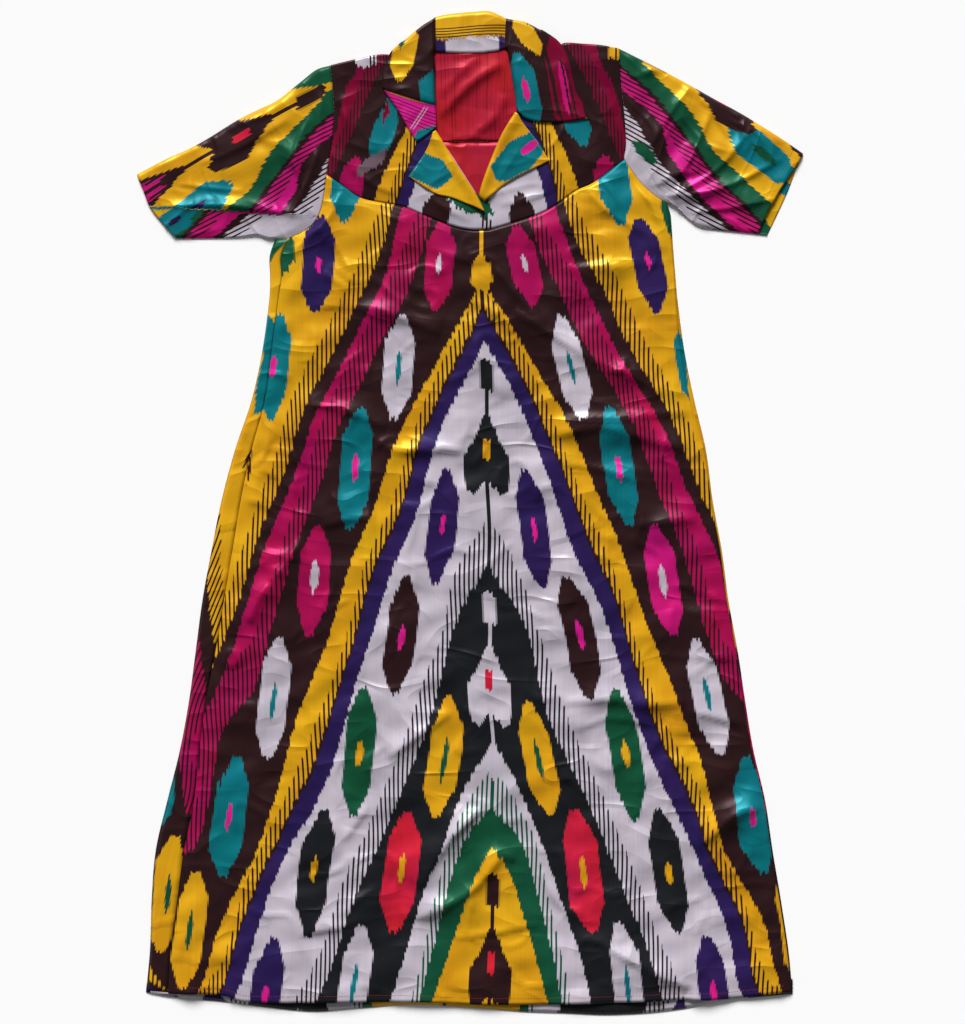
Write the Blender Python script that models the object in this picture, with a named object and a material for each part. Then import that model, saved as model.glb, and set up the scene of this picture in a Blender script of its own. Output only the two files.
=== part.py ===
"""An atlas silk dress with a notched collar and short sleeves, laid flat and face up.

Metres. X runs to the right of the picture, Y from the hem towards the collar, and Z up from
the surface that the dress lies on. Left and right are the picture's. Every ply is a wall of
cloth, and a ply that lies on another one repeats its height, one ply further up.
"""

from collections import namedtuple

import bmesh
import bpy
import numpy as np

# Cloth
CLOTH = 0.0012  # wall of one ply
GAP = 0.0003  # clearance between two plies, and between two pieces at a seam
PLY = CLOTH + GAP  # how far one ply raises what lies on it
SEAM_INSET = GAP / 2  # each piece stops this far from its seam line
FOLD_INSET = 0.0006  # the lower of two plies joined by a fold stops this far from the edge
FOLD_REST = 0.0004  # height of the upper ply where it turns over the fold

# Driving sizes
SHOULDER_Y = 0.557  # top of the right shoulder
BACK_SEAM_Y = 0.443  # the back yoke's lower seam
HEM_DEPTH = 0.018  # the turned-up hem
HEM_SLANT = 0.003  # its right end leans in by this much
COLLAR_FALL_Y = 0.535  # how far the collar's fall reaches under the back yoke, at its middle
COLLAR_MIDDLE_X = 0.008
COLLAR_FALL_RISE = 0.018  # the fall's edge climbs this much towards its ends
COLLAR_HALF = 0.105
LIFT_RAMP = 0.060  # length over which a ply climbs onto the one below it
LIFT_MARGIN = 0.024  # it is up this far before it meets the edge of the one below
ROLL_PROFILE = ((0.0, 0.0), (0.1, 1.0), (0.25, 0.85), (0.5, 0.3), (0.75, 0.0), (1.0, 0.0))

# How finely each seam and edge is divided
YOKE_LEFT_STEPS, YOKE_RIGHT_STEPS, OVERLAP_STEPS = 18, 15, 2
SHOULDER_STEPS, ARM_BACK_STEPS, ARM_BODY_STEPS = 5, 3, 6
SIDE_STEPS, BACK_SIDE_STEPS, BACK_STEPS = 38, 16, 14
SLEEVE_STEPS = 10
LAPEL_ROWS, LAPEL_COLUMNS = 8, 6
CURVE_STEPS = 16
ROLLED_STEPS, TIP_STEPS, TURNED_STEPS = 3, 1, 2
EDGE_FADE = 0.35  # share of a crease's height that is left at the edge of its panel
END_FADE = 0.25  # share of a crease's height that is left at its two ends
NARROWEST_CORNER = 0.5  # a corner's inset is at most the seam inset over this
SHARP_ANGLE = np.radians(50)

# Colours of the dyed silk, as linear red, green, blue
GOLD = (0.72, 0.34, 0.01)
MAROON = (0.030, 0.008, 0.010)
CRIMSON = (0.42, 0.005, 0.080)
TEAL = (0.0, 0.21, 0.19)
RED_INSIDE = (0.42, 0.035, 0.055)

# The armholes and shoulders, each a smooth curve through x, y
LEFT_SHOULDER = ((-0.167, 0.537), (-0.146, 0.542), (-0.122, 0.5475), (-0.105, 0.550),
                 (-0.097, 0.548), (-0.088, 0.541), (-0.070, 0.541), (-0.049, 0.546))
RIGHT_SHOULDER = ((0.050, 0.550), (0.080, 0.548), (0.094, 0.549), (0.104, 0.557),
                  (0.113, 0.5635), (0.132, 0.563), (0.156, 0.561), (0.179, SHOULDER_Y))
BACK_NECK_EDGE = ((-0.167, 0.537), (-0.146, 0.542), (-0.122, 0.5475), (-0.105, 0.550),
                  (-0.090, 0.550), (-0.060, 0.552), (-0.043, 0.5545), (0.0, 0.555),
                  (0.041, 0.5575), (0.080, 0.553), (0.096, 0.553), (0.113, 0.5635),
                  (0.132, 0.563), (0.156, 0.561), (0.179, SHOULDER_Y))
LEFT_ARM_SHOULDER = ((-0.167, 0.537), (-0.163, 0.484), (-0.166, BACK_SEAM_Y))
LEFT_ARM_BACK = ((-0.166, BACK_SEAM_Y), (-0.169, 0.425), (-0.172, 0.406))
LEFT_ARM_BODY = ((-0.172, 0.406), (-0.176, 0.377), (-0.181, 0.358), (-0.192, 0.343),
                 (-0.216, 0.330))
LEFT_ARM_TIP = ((-0.216, 0.330), (-0.234, 0.328))
RIGHT_ARM_SHOULDER = ((0.179, SHOULDER_Y), (0.181, 0.520), (0.185, 0.478), (0.187, 0.448))
RIGHT_ARM_BACK = ((0.187, 0.448), (0.1865, 0.436), (0.185, 0.424))
RIGHT_ARM_BODY = ((0.185, 0.424), (0.193, 0.412), (0.205, 0.396), (0.220, 0.382),
                  (0.236, 0.371))
RIGHT_ARM_TIP = ((0.236, 0.371), (0.241, 0.357))

# The front yoke: its curved lower seam, and the neck edges that the lapels roll over
YOKE_SEAM_LEFT = ((-0.172, 0.406), (-0.150, 0.391), (-0.128, 0.377), (-0.082, 0.368),
                  (-0.059, 0.359), (-0.026, 0.346), (0.0, 0.340), (0.023, 0.340))
YOKE_SEAM_RIGHT = ((0.023, 0.340), (0.044, 0.346), (0.090, 0.362), (0.126, 0.386),
                   (0.149, 0.397), (0.185, 0.424))
OVERLAP_EDGE = ((0.005, 0.340), (0.023, 0.340))
NECK_EDGE_LEFT = ((-0.049, 0.546), (-0.047, 0.520), (-0.045, 0.490), (-0.043, 0.463),
                  (-0.018, 0.423), (0.007, 0.384), (0.018, 0.365), (0.023, 0.340))
NECK_EDGE_RIGHT = ((0.050, 0.550), (0.052, 0.530), (0.056, 0.511), (0.058, 0.487),
                   (0.037, 0.446), (0.010, 0.383), (0.007, 0.370), (0.005, 0.340))
OVERLAP_FROM_X, OVERLAP_TO_X = -0.050, -0.008  # the lap climbs between these, from the left
OVERLAP_FROM_Y, OVERLAP_TO_Y = 0.470, 0.412  # and between these, from above

# The lapels, each with a short top side, an outer side, a lower side and the rolled neck side
LAPEL_LEFT_TOP = ((-0.0445, 0.4560), (-0.0410, 0.4590))
LAPEL_LEFT_OUTER = ((-0.0445, 0.4560), (-0.053, 0.434), (-0.074, 0.403))
LAPEL_LEFT_LOWER = ((-0.074, 0.403), (-0.042, 0.383), (-0.020, 0.377), (0.0185, 0.361))
LAPEL_LEFT_NECK = ((-0.0410, 0.4590), (-0.0155, 0.4175), (0.0075, 0.382), (0.0185, 0.361))
LAPEL_RIGHT_TOP = ((0.0540, 0.4810), (0.0575, 0.4780))
LAPEL_RIGHT_OUTER = ((0.0575, 0.4780), (0.0655, 0.4650), (0.083, 0.443), (0.095, 0.422))
LAPEL_RIGHT_LOWER = ((0.017, 0.373), (0.047, 0.397), (0.095, 0.422))
LAPEL_RIGHT_NECK = ((0.0540, 0.4810), (0.034, 0.446), (0.0115, 0.386), (0.017, 0.373))
LAPEL_ROLL = 0.0022  # the soft roll at the neck side

# The sleeves
LEFT_SLEEVE_TOP = ((-0.167, 0.537), (-0.184, 0.532), (-0.201, 0.519), (-0.230, 0.496),
                   (-0.254, 0.484), (-0.278, 0.472), (-0.315, 0.449), (-0.339, 0.436),
                   (-0.366, 0.424), (-0.400, 0.406))
LEFT_SLEEVE_UNDER = ((-0.234, 0.328), (-0.247, 0.330), (-0.262, 0.334), (-0.287, 0.330),
                     (-0.324, 0.329), (-0.352, 0.329))
LEFT_CUFF = ((-0.400, 0.406), (-0.392, 0.387), (-0.382, 0.364), (-0.352, 0.329))
RIGHT_SLEEVE_TOP = ((0.179, SHOULDER_Y), (0.223, 0.535), (0.257, 0.517), (0.290, 0.4985),
                    (0.324, 0.480), (0.352, 0.463), (0.374, 0.449), (0.400, 0.431))
RIGHT_SLEEVE_UNDER = ((0.236, 0.371), (0.251, 0.364), (0.264, 0.350), (0.278, 0.342),
                      (0.299, 0.339), (0.328, 0.336), (0.345, 0.334))
RIGHT_CUFF = ((0.400, 0.431), (0.389, 0.412), (0.373, 0.389), (0.356, 0.359), (0.345, 0.334))
RIGHT_CUFF_BACK = ((0.400, 0.431), (0.391, 0.412), (0.380, 0.383), (0.3565, 0.333))
RIGHT_UNDER_BACK = ((0.236, 0.371), (0.251, 0.364), (0.264, 0.350), (0.278, 0.342),
                    (0.299, 0.339), (0.328, 0.336), (0.3565, 0.333))

# The skirt's sides: the fold at the left edge, the side seam that lies on the front, and the
# right edges of the front and of the back, which shows a little beyond it
Side = namedtuple("Side", "y fold_left seam_left front_right back_right")
SIDES = (
    Side(0.308, -0.2405, -0.227, 0.2435, 0.2445),
    Side(0.284, -0.2400, -0.226, 0.2455, 0.2465),
    Side(0.256, -0.241, -0.230, 0.247, 0.249),
    Side(0.196, -0.249, -0.238, 0.253, 0.257),
    Side(0.136, -0.262, -0.246, 0.264, 0.269),
    Side(0.076, -0.282, -0.262, 0.281, 0.283),
    Side(0.016, -0.298, -0.275, 0.289, 0.291),
    Side(-0.044, -0.310, -0.285, 0.300, 0.302),
    Side(-0.104, -0.321, -0.295, 0.308, 0.310),
    Side(-0.164, -0.329, -0.305, 0.319, 0.321),
    Side(-0.224, -0.337, -0.317, 0.328, 0.330),
    Side(-0.284, -0.348, -0.325, 0.338, 0.340),
    Side(-0.344, -0.363, -0.331, 0.352, 0.354),
    Side(-0.404, -0.377, -0.343, 0.361, 0.363),
    Side(-0.464, -0.382, -0.351, 0.371, 0.373),
    Side(-0.524, -0.384, -0.359, 0.380, 0.382),
)
FRONT_HEM = ((-0.362, -0.576), (-0.298, -0.578), (-0.269, -0.586), (-0.204, -0.587),
             (-0.124, -0.586), (-0.060, -0.586), (0.012, -0.589), (0.097, -0.589),
             (0.200, -0.586), (0.252, -0.583), (0.301, -0.583), (0.385, -0.574))
BACK_HEM = ((-0.389, -0.575), (-0.348, -0.582), (-0.298, -0.586), (-0.252, -0.592),
            (-0.188, -0.598), (-0.132, -0.594), (-0.072, -0.590), (-0.006, -0.593),
            (0.060, -0.598), (0.113, -0.600), (0.162, -0.602), (0.212, -0.600),
            (0.254, -0.595), (0.282, -0.590), (0.316, -0.584), (0.387, -0.577))
HEM_PLY_LEFT_X = -0.356  # the back's turned-up hem starts beside the rolled side seam

# The collar, from the folded tip of its left wing round the back neck to its right tip.
# over is the number of plies that a section lies on, roll the height of its rolled inner
# edge, and turned is 1 where its outer edge goes under the back yoke.
Section = namedtuple(
    "Section", "outer_x outer_y mid_x mid_y inner_x inner_y over roll turned")
COLLAR = (
    Section(-0.064, 0.445, -0.052, 0.4530, -0.0405, 0.4625, 2.0, 0.0, 0),
    Section(-0.074, 0.461, -0.058, 0.4650, -0.0405, 0.4710, 2.0, 0.0, 0),
    Section(-0.088, 0.485, -0.066, 0.4810, -0.0410, 0.4800, 2.0, 0.0003, 0),
    Section(-0.104, 0.507, -0.072, 0.4950, -0.0415, 0.4880, 2.0, 0.0010, 0),
    Section(-0.105, 0.512, -0.073, 0.5000, -0.0415, 0.4925, 3.0, 0.0020, 0),
    Section(-0.105, 0.526, -0.073, 0.5160, -0.0420, 0.5080, 2.6, 0.0030, 0),
    Section(-0.100, 0.541, -0.070, 0.5320, -0.0420, 0.5240, 2.2, 0.0034, 0),
    Section(-0.095, 0.552, -0.068, 0.5440, -0.0420, 0.5360, 2.0, 0.0034, 0),
    Section(-0.088, 0.559, -0.065, 0.5510, -0.0425, 0.5420, 2.0, 0.0034, 0),
    Section(-0.080, 0.566, -0.062, 0.5570, -0.0430, 0.5470, 2.0, 0.0034, 1),
    Section(-0.060, 0.583, -0.051, 0.5670, -0.0430, 0.5500, 2.0, 0.0034, 1),
    Section(-0.046, 0.592, -0.045, 0.5730, -0.0435, 0.5515, 2.0, 0.0030, 1),
    Section(-0.041, 0.595, -0.041, 0.5750, -0.0400, 0.5525, 1.0, 0.0, 1),
    Section(-0.028, 0.598, -0.028, 0.5760, -0.0280, 0.5520, 1.0, 0.0, 1),
    Section(-0.011, 0.600, -0.011, 0.5760, -0.0100, 0.5515, 1.0, 0.0, 1),
    Section(0.008, 0.6015, 0.006, 0.5770, 0.0050, 0.5515, 1.0, 0.0, 1),
    Section(0.023, 0.602, 0.021, 0.5780, 0.0190, 0.5520, 1.0, 0.0, 1),
    Section(0.036, 0.597, 0.034, 0.5770, 0.0330, 0.5540, 1.0, 0.0, 1),
    Section(0.043, 0.5935, 0.042, 0.5750, 0.0405, 0.5560, 1.0, 0.0, 1),
    Section(0.050, 0.592, 0.048, 0.5740, 0.0445, 0.5555, 2.0, 0.0030, 1),
    Section(0.066, 0.589, 0.056, 0.5710, 0.0450, 0.5520, 2.0, 0.0034, 1),
    Section(0.084, 0.580, 0.066, 0.5650, 0.0460, 0.5470, 2.0, 0.0034, 1),
    Section(0.097, 0.572, 0.073, 0.5580, 0.0470, 0.5420, 2.0, 0.0034, 0),
    Section(0.106, 0.565, 0.079, 0.5520, 0.0480, 0.5370, 2.0, 0.0034, 0),
    Section(0.114, 0.554, 0.082, 0.5430, 0.0490, 0.5310, 2.0, 0.0034, 0),
    Section(0.120, 0.535, 0.086, 0.5280, 0.0505, 0.5200, 2.0, 0.0034, 0),
    Section(0.127, 0.505, 0.090, 0.5050, 0.0530, 0.5060, 2.0, 0.0030, 0),
    Section(0.136, 0.490, 0.092, 0.4870, 0.0545, 0.4960, 2.0, 0.0020, 0),
    Section(0.144, 0.473, 0.080, 0.4690, 0.0550, 0.4870, 2.0, 0.0010, 0),
)
FALL_TOP = ((-0.086, 0.558), (-0.080, 0.563), (-0.060, 0.580), (-0.043, 0.5905),
            (-0.028, 0.5955), (-0.011, 0.598), (0.008, 0.5995), (0.023, 0.5995),
            (0.036, 0.5945), (0.050, 0.590), (0.066, 0.5865), (0.084, 0.578), (0.094, 0.571))
FALL_STEPS = 24

# The largest creases, each a soft ridge along a bent line from its start through its middle
# to its end
Crease = namedtuple("Crease", "x0 y0 x1 y1 x2 y2 width height")
FRONT_CREASES = (
    Crease(-0.148, 0.247, -0.101, 0.239, -0.035, 0.215, 0.017, 0.0040),
    Crease(0.052, 0.241, 0.143, 0.184, 0.230, 0.142, 0.018, 0.0050),
    Crease(-0.194, 0.128, -0.156, 0.124, -0.101, 0.102, 0.016, 0.0035),
    Crease(-0.118, 0.090, -0.086, 0.074, -0.007, 0.077, 0.016, 0.0035),
    Crease(0.101, 0.098, 0.186, 0.100, 0.262, 0.078, 0.017, 0.0050),
    Crease(-0.178, -0.017, -0.150, -0.006, -0.112, -0.004, 0.018, 0.0040),
    Crease(-0.205, -0.031, -0.246, -0.090, -0.266, -0.132, 0.018, 0.0055),
    Crease(0.192, -0.016, 0.230, -0.012, 0.272, -0.007, 0.017, 0.0040),
    Crease(-0.097, -0.293, -0.061, -0.266, -0.023, -0.240, 0.018, 0.0045),
    Crease(0.120, -0.250, 0.160, -0.224, 0.257, -0.228, 0.018, 0.0050),
    Crease(-0.061, -0.449, -0.023, -0.390, 0.020, -0.350, 0.018, 0.0045),
    Crease(-0.066, -0.486, 0.000, -0.455, 0.042, -0.402, 0.020, 0.0060),
    Crease(0.280, -0.394, 0.318, -0.364, 0.352, -0.353, 0.018, 0.0055),
    Crease(0.122, -0.514, 0.200, -0.540, 0.262, -0.566, 0.020, 0.0060),
    Crease(-0.170, -0.500, -0.125, -0.470, -0.100, -0.440, 0.020, 0.0045),
)
LEFT_SLEEVE_CREASES = (
    Crease(-0.372, 0.366, -0.285, 0.366, -0.198, 0.356, 0.014, 0.0045),
    Crease(-0.190, 0.440, -0.250, 0.425, -0.320, 0.405, 0.018, 0.0035),
    Crease(-0.200, 0.480, -0.250, 0.462, -0.300, 0.432, 0.016, 0.0030),
)
RIGHT_SLEEVE_CREASES = (
    Crease(0.222, 0.396, 0.280, 0.430, 0.355, 0.445, 0.017, 0.0045),
    Crease(0.212, 0.420, 0.236, 0.460, 0.262, 0.498, 0.016, 0.0040),
    Crease(0.235, 0.385, 0.290, 0.385, 0.350, 0.372, 0.016, 0.0040),
)
YOKE_CREASES = (
    Crease(-0.155, 0.500, -0.140, 0.455, -0.110, 0.400, 0.017, 0.0025),
    Crease(0.172, 0.455, 0.150, 0.425, 0.115, 0.398, 0.014, 0.0025),
)


def clear_scene():
    for obj in list(bpy.data.objects):
        bpy.data.objects.remove(obj, do_unlink=True)


def silk(name, colour, roughness=0.38):
    """A satin-faced silk of one colour."""
    material = bpy.data.materials.new(name)
    material.use_nodes = True
    shader = material.node_tree.nodes["Principled BSDF"]
    shader.inputs["Base Color"].default_value = (*colour, 1.0)
    shader.inputs["Roughness"].default_value = roughness
    shader.inputs["Metallic"].default_value = 0.0
    return material


def even(points, count):
    """count + 1 points evenly spaced along the polyline through points."""
    line = np.asarray(points, float)
    run = np.concatenate([[0.0], np.cumsum(np.linalg.norm(np.diff(line, axis=0), axis=1))])
    at = np.linspace(0.0, run[-1], count + 1)
    return np.stack([np.interp(at, run, line[:, k]) for k in range(2)], axis=1)


def smooth(points, count):
    """count + 1 points evenly spaced along a smooth curve through every one of points."""
    known = np.asarray(points, float)
    ends = np.vstack([2 * known[0] - known[1], known, 2 * known[-1] - known[-2]])
    t = np.linspace(0.0, 1.0, CURVE_STEPS, endpoint=False)[:, None]
    fine = [
        (2 * b + (c - a) * t + (2 * a - 5 * b + 4 * c - d) * t**2
         + (3 * b - a - 3 * c + d) * t**3) / 2
        for a, b, c, d in zip(ends, ends[1:], ends[2:], ends[3:])
    ]
    return even(np.vstack([*fine, known[-1:]]), count)


def chain(*curves):
    """Curves that follow each other, as one."""
    return np.vstack([curves[0], *[curve[1:] for curve in curves[1:]]])


def column(name, first, last):
    """One edge of the skirt from first to last, through the named column of SIDES."""
    return (first, *[(getattr(row, name), row.y) for row in SIDES], last)


def climb(value, start, end):
    """0 before start and 1 past end, with a smooth ramp between them."""
    t = np.clip((value - start) / (end - start), 0.0, 1.0)
    return t * t * (3 - 2 * t)


def inset_loop(loop, distance):
    """A closed outline moved inwards, each corner by its own distance."""
    x, y = loop[:, 0], loop[:, 1]
    turn = np.sign(np.sum(x * np.roll(y, -1) - np.roll(x, -1) * y))
    along = np.roll(loop, -1, axis=0) - loop
    along /= np.linalg.norm(along, axis=1)[:, None]
    inward = turn * np.stack([-along[:, 1], along[:, 0]], axis=1)
    both = inward + np.roll(inward, 1, axis=0)
    both /= np.linalg.norm(both, axis=1)[:, None]
    reach = 1.0 / np.maximum(np.sum(both * inward, axis=1), NARROWEST_CORNER)
    return loop + both * (distance * reach)[:, None]


def patch(top, bottom, left, right, inset=(SEAM_INSET,) * 4):
    """Rows of points that fill the outline given by four sides, each side inset by its own
    distance. left and right run from top to bottom, top and bottom from left to right."""
    sides = (top, right, bottom[::-1], left[::-1])
    gaps = (inset[0], inset[3], inset[1], inset[2])
    loop = np.vstack([side[:-1] for side in sides])
    distance = np.concatenate([np.full(len(s) - 1, gap) for s, gap in zip(sides, gaps)])
    starts = np.cumsum([0] + [len(side) - 1 for side in sides])
    for start, gap in zip(starts, (gaps[3], *gaps[:3])):
        distance[start % len(loop)] = max(distance[start % len(loop)], gap)
    loop = inset_loop(loop, distance)
    loop = np.vstack([loop, loop[:1]])
    top, right, bottom, left = (loop[a:b + 1] for a, b in zip(starts, starts[1:]))
    bottom, left = bottom[::-1], left[::-1]
    u = np.linspace(0.0, 1.0, len(top))[None, :, None]
    v = np.linspace(0.0, 1.0, len(left))[:, None, None]
    ruled = (1 - v) * top[None] + v * bottom[None] + (1 - u) * left[:, None] + u * right[:, None]
    corners = ((1 - u) * (1 - v) * top[0] + u * (1 - v) * top[-1]
               + (1 - u) * v * bottom[0] + u * v * bottom[-1])
    return ruled - corners


def creased(creases, plan):
    """Height that the creases add at each point of a panel, fading towards its edges."""
    rise = np.zeros(plan.shape[:2])
    for crease in creases:
        ends = np.array([(crease.x0, crease.y0), (crease.x1, crease.y1), (crease.x2, crease.y2)])
        line = smooth(ends, CURVE_STEPS)
        away = np.linalg.norm(plan[:, :, None] - line, axis=3)
        nearest = away.argmin(axis=2) / CURVE_STEPS
        taper = np.clip(4 * nearest * (1 - nearest), 0.0, 1.0) ** 0.5
        height = crease.height * (END_FADE + (1 - END_FADE) * taper)
        ridge = height * np.exp(-(away.min(axis=2) / crease.width) ** 2)
        rise = np.maximum(rise, ridge)
    fade = np.full(plan.shape[:2], EDGE_FADE)
    fade[1:-1, 1:-1] = 1.0
    return rise * fade


def fall_edge(x):
    """Y of the collar fall's edge, under the back yoke."""
    return COLLAR_FALL_Y + COLLAR_FALL_RISE * ((x - COLLAR_MIDDLE_X) / COLLAR_HALF) ** 2


def over_fall(plan):
    """One ply where a piece lies over the collar's fall."""
    past = plan[..., 1] - fall_edge(plan[..., 0])
    return PLY * climb(past, -LIFT_RAMP - LIFT_MARGIN, -LIFT_MARGIN)


def over_hem(plan):
    """One ply where the front lies over the back's turned-up hem."""
    edge = smooth(BACK_HEM, len(BACK_HEM) * CURVE_STEPS)
    above = plan[..., 1] - np.interp(plan[..., 0], edge[:, 0], edge[:, 1]) - HEM_DEPTH
    return PLY * climb(-above, -LIFT_RAMP - LIFT_MARGIN, -LIFT_MARGIN)


def over_right_front(plan):
    """One ply where the left half of the front yoke laps over the right half."""
    across = climb(plan[..., 0], OVERLAP_FROM_X, OVERLAP_TO_X)
    below = climb(-plan[..., 1], -OVERLAP_FROM_Y, -OVERLAP_TO_Y)
    return PLY * across * below


def yoke_height(plan, laps=False):
    """Underside of the front yoke, and one ply more of whatever lies on it."""
    low = PLY + over_fall(plan) + creased(YOKE_CREASES, plan)
    return low + over_right_front(plan) if laps else low


def ply(name, plan, low, material):
    """One wall of cloth over a plan of points, with its underside at the heights low."""
    rows, columns = plan.shape[:2]
    mesh = bmesh.new()
    bmesh.ops.create_grid(mesh, x_segments=columns - 1, y_segments=rows - 1, size=0.5)
    for vert in mesh.verts:
        i = round((vert.co.x + 0.5) * (columns - 1))
        j = round((0.5 - vert.co.y) * (rows - 1))
        vert.co = (*plan[j, i], low[j, i])
    raised = bmesh.ops.extrude_face_region(mesh, geom=mesh.faces[:])
    top = [item for item in raised["geom"] if isinstance(item, bmesh.types.BMVert)]
    bmesh.ops.translate(mesh, verts=top, vec=(0.0, 0.0, CLOTH))
    bmesh.ops.recalc_face_normals(mesh, faces=mesh.faces[:])
    if mesh.calc_volume(signed=True) < 0:
        bmesh.ops.reverse_faces(mesh, faces=mesh.faces[:])
    data = bpy.data.meshes.new(name)
    mesh.to_mesh(data)
    mesh.free()
    data.shade_smooth()
    data.set_sharp_from_angle(angle=SHARP_ANGLE)
    data.materials.append(material)
    obj = bpy.data.objects.new(name, data)
    bpy.context.scene.collection.objects.link(obj)
    return obj


def turned_from(lower, *uppers):
    """Makes plies one piece of cloth with the ply that they are turned over from."""
    for upper in uppers:
        upper.hide_render = True
        upper.display_type = "WIRE"
        union = lower.modifiers.new("turned over", "BOOLEAN")
        union.operation = "UNION"
        union.use_self = True
        union.object = upper
    return lower


def flat(plan, height=0.0):
    return np.full(plan.shape[:2], height)


def build_back():
    """The back yoke, and the back skirt with its rolled left side and its turned-up hem."""
    yoke = patch(
        smooth(BACK_NECK_EDGE, BACK_STEPS),
        even((LEFT_ARM_BACK[0], RIGHT_ARM_BACK[0]), BACK_STEPS),
        smooth(LEFT_ARM_SHOULDER, SHOULDER_STEPS),
        smooth(RIGHT_ARM_SHOULDER, SHOULDER_STEPS),
    )
    ply("back_yoke", yoke, over_fall(yoke), silk("yoke silk, wrong side", RED_INSIDE, 0.5))

    maroon = silk("back silk", MAROON)
    fold = column("fold_left", LEFT_ARM_TIP[-1], BACK_HEM[0])
    skirt = patch(
        even((LEFT_ARM_BACK[0], RIGHT_ARM_BACK[0]), BACK_STEPS),
        smooth(BACK_HEM, BACK_STEPS),
        chain(smooth(LEFT_ARM_BACK, ARM_BACK_STEPS), smooth(LEFT_ARM_BODY, ARM_BODY_STEPS),
              even(LEFT_ARM_TIP, TIP_STEPS), smooth(fold, BACK_SIDE_STEPS)),
        chain(smooth(RIGHT_ARM_BACK, ARM_BACK_STEPS), smooth(RIGHT_ARM_BODY, ARM_BODY_STEPS),
              even(RIGHT_ARM_TIP, TIP_STEPS),
              smooth(column("back_right", RIGHT_ARM_TIP[-1], BACK_HEM[-1]), BACK_SIDE_STEPS)),
        inset=(SEAM_INSET, FOLD_INSET, FOLD_INSET, SEAM_INSET),
    )
    back = ply("back_skirt", skirt, flat(skirt), maroon)

    rolled = patch(
        even(LEFT_ARM_TIP[::-1], ROLLED_STEPS),
        even((BACK_HEM[0], FRONT_HEM[0]), ROLLED_STEPS),
        smooth(fold, SIDE_STEPS),
        smooth(column("seam_left", LEFT_ARM_TIP[0], FRONT_HEM[0]), SIDE_STEPS),
    )
    low = flat(rolled, PLY)
    low[:, 0] = FOLD_REST
    side = ply("back_skirt_rolled_side", rolled, low, maroon)

    edge = smooth(BACK_HEM, YOKE_LEFT_STEPS * 2)
    edge = even(edge[edge[:, 0] > HEM_PLY_LEFT_X], YOKE_LEFT_STEPS)
    turn_up = patch(edge + (0.0, HEM_DEPTH), edge,
                    even((edge[0] + (0.0, HEM_DEPTH), edge[0]), TURNED_STEPS),
                    even((edge[-1] + (-HEM_SLANT, HEM_DEPTH), edge[-1]), TURNED_STEPS))
    low = flat(turn_up, PLY)
    low[-1] = FOLD_REST
    turned_from(back, side, ply("back_skirt_turned_hem", turn_up, low, maroon))


def build_front():
    """The front skirt panel, with its largest creases."""
    panel = patch(
        chain(smooth(YOKE_SEAM_LEFT, YOKE_LEFT_STEPS), smooth(YOKE_SEAM_RIGHT, YOKE_RIGHT_STEPS)),
        smooth(FRONT_HEM, YOKE_LEFT_STEPS + YOKE_RIGHT_STEPS),
        chain(smooth(LEFT_ARM_BODY, ARM_BODY_STEPS),
              smooth(column("seam_left", LEFT_ARM_TIP[0], FRONT_HEM[0]), SIDE_STEPS)),
        chain(smooth(RIGHT_ARM_BODY, ARM_BODY_STEPS),
              smooth(column("front_right", RIGHT_ARM_BODY[-1], FRONT_HEM[-1]), SIDE_STEPS)),
    )
    low = PLY + over_hem(panel) + creased(FRONT_CREASES, panel)
    ply("front_skirt", panel, low, silk("front silk", GOLD))


def build_front_yoke():
    """The two halves of the front yoke, the left one lapped over the right one."""
    left = patch(
        smooth(LEFT_SHOULDER, YOKE_LEFT_STEPS),
        smooth(YOKE_SEAM_LEFT, YOKE_LEFT_STEPS),
        chain(smooth(LEFT_ARM_SHOULDER, SHOULDER_STEPS), smooth(LEFT_ARM_BACK, ARM_BACK_STEPS)),
        smooth(NECK_EDGE_LEFT, SHOULDER_STEPS + ARM_BACK_STEPS),
    )
    ply("front_yoke_left", left, yoke_height(left, laps=True), silk("left yoke silk", MAROON))
    right = patch(
        smooth(RIGHT_SHOULDER, OVERLAP_STEPS + YOKE_RIGHT_STEPS),
        chain(even(OVERLAP_EDGE, OVERLAP_STEPS), smooth(YOKE_SEAM_RIGHT, YOKE_RIGHT_STEPS)),
        smooth(NECK_EDGE_RIGHT, SHOULDER_STEPS + ARM_BACK_STEPS),
        chain(smooth(RIGHT_ARM_SHOULDER, SHOULDER_STEPS), smooth(RIGHT_ARM_BACK, ARM_BACK_STEPS)),
    )
    ply("front_yoke_right", right, yoke_height(right), silk("right yoke silk", CRIMSON))


def build_lapels():
    """The two lapels, each turned back onto its half of the yoke."""
    left = patch(smooth(LAPEL_LEFT_TOP, LAPEL_COLUMNS), smooth(LAPEL_LEFT_LOWER, LAPEL_COLUMNS),
                 smooth(LAPEL_LEFT_OUTER, LAPEL_ROWS), smooth(LAPEL_LEFT_NECK, LAPEL_ROWS))
    low = yoke_height(left, laps=True) + PLY
    low[1:-1, -2] += LAPEL_ROLL
    ply("lapel_left", left, low, silk("left lapel silk", GOLD))
    right = patch(smooth(LAPEL_RIGHT_TOP, LAPEL_COLUMNS), smooth(LAPEL_RIGHT_LOWER, LAPEL_COLUMNS),
                  smooth(LAPEL_RIGHT_NECK, LAPEL_ROWS), smooth(LAPEL_RIGHT_OUTER, LAPEL_ROWS))
    low = yoke_height(right) + PLY
    low[1:-1, 1] += LAPEL_ROLL
    ply("lapel_right", right, low, silk("right lapel silk", TEAL))


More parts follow.
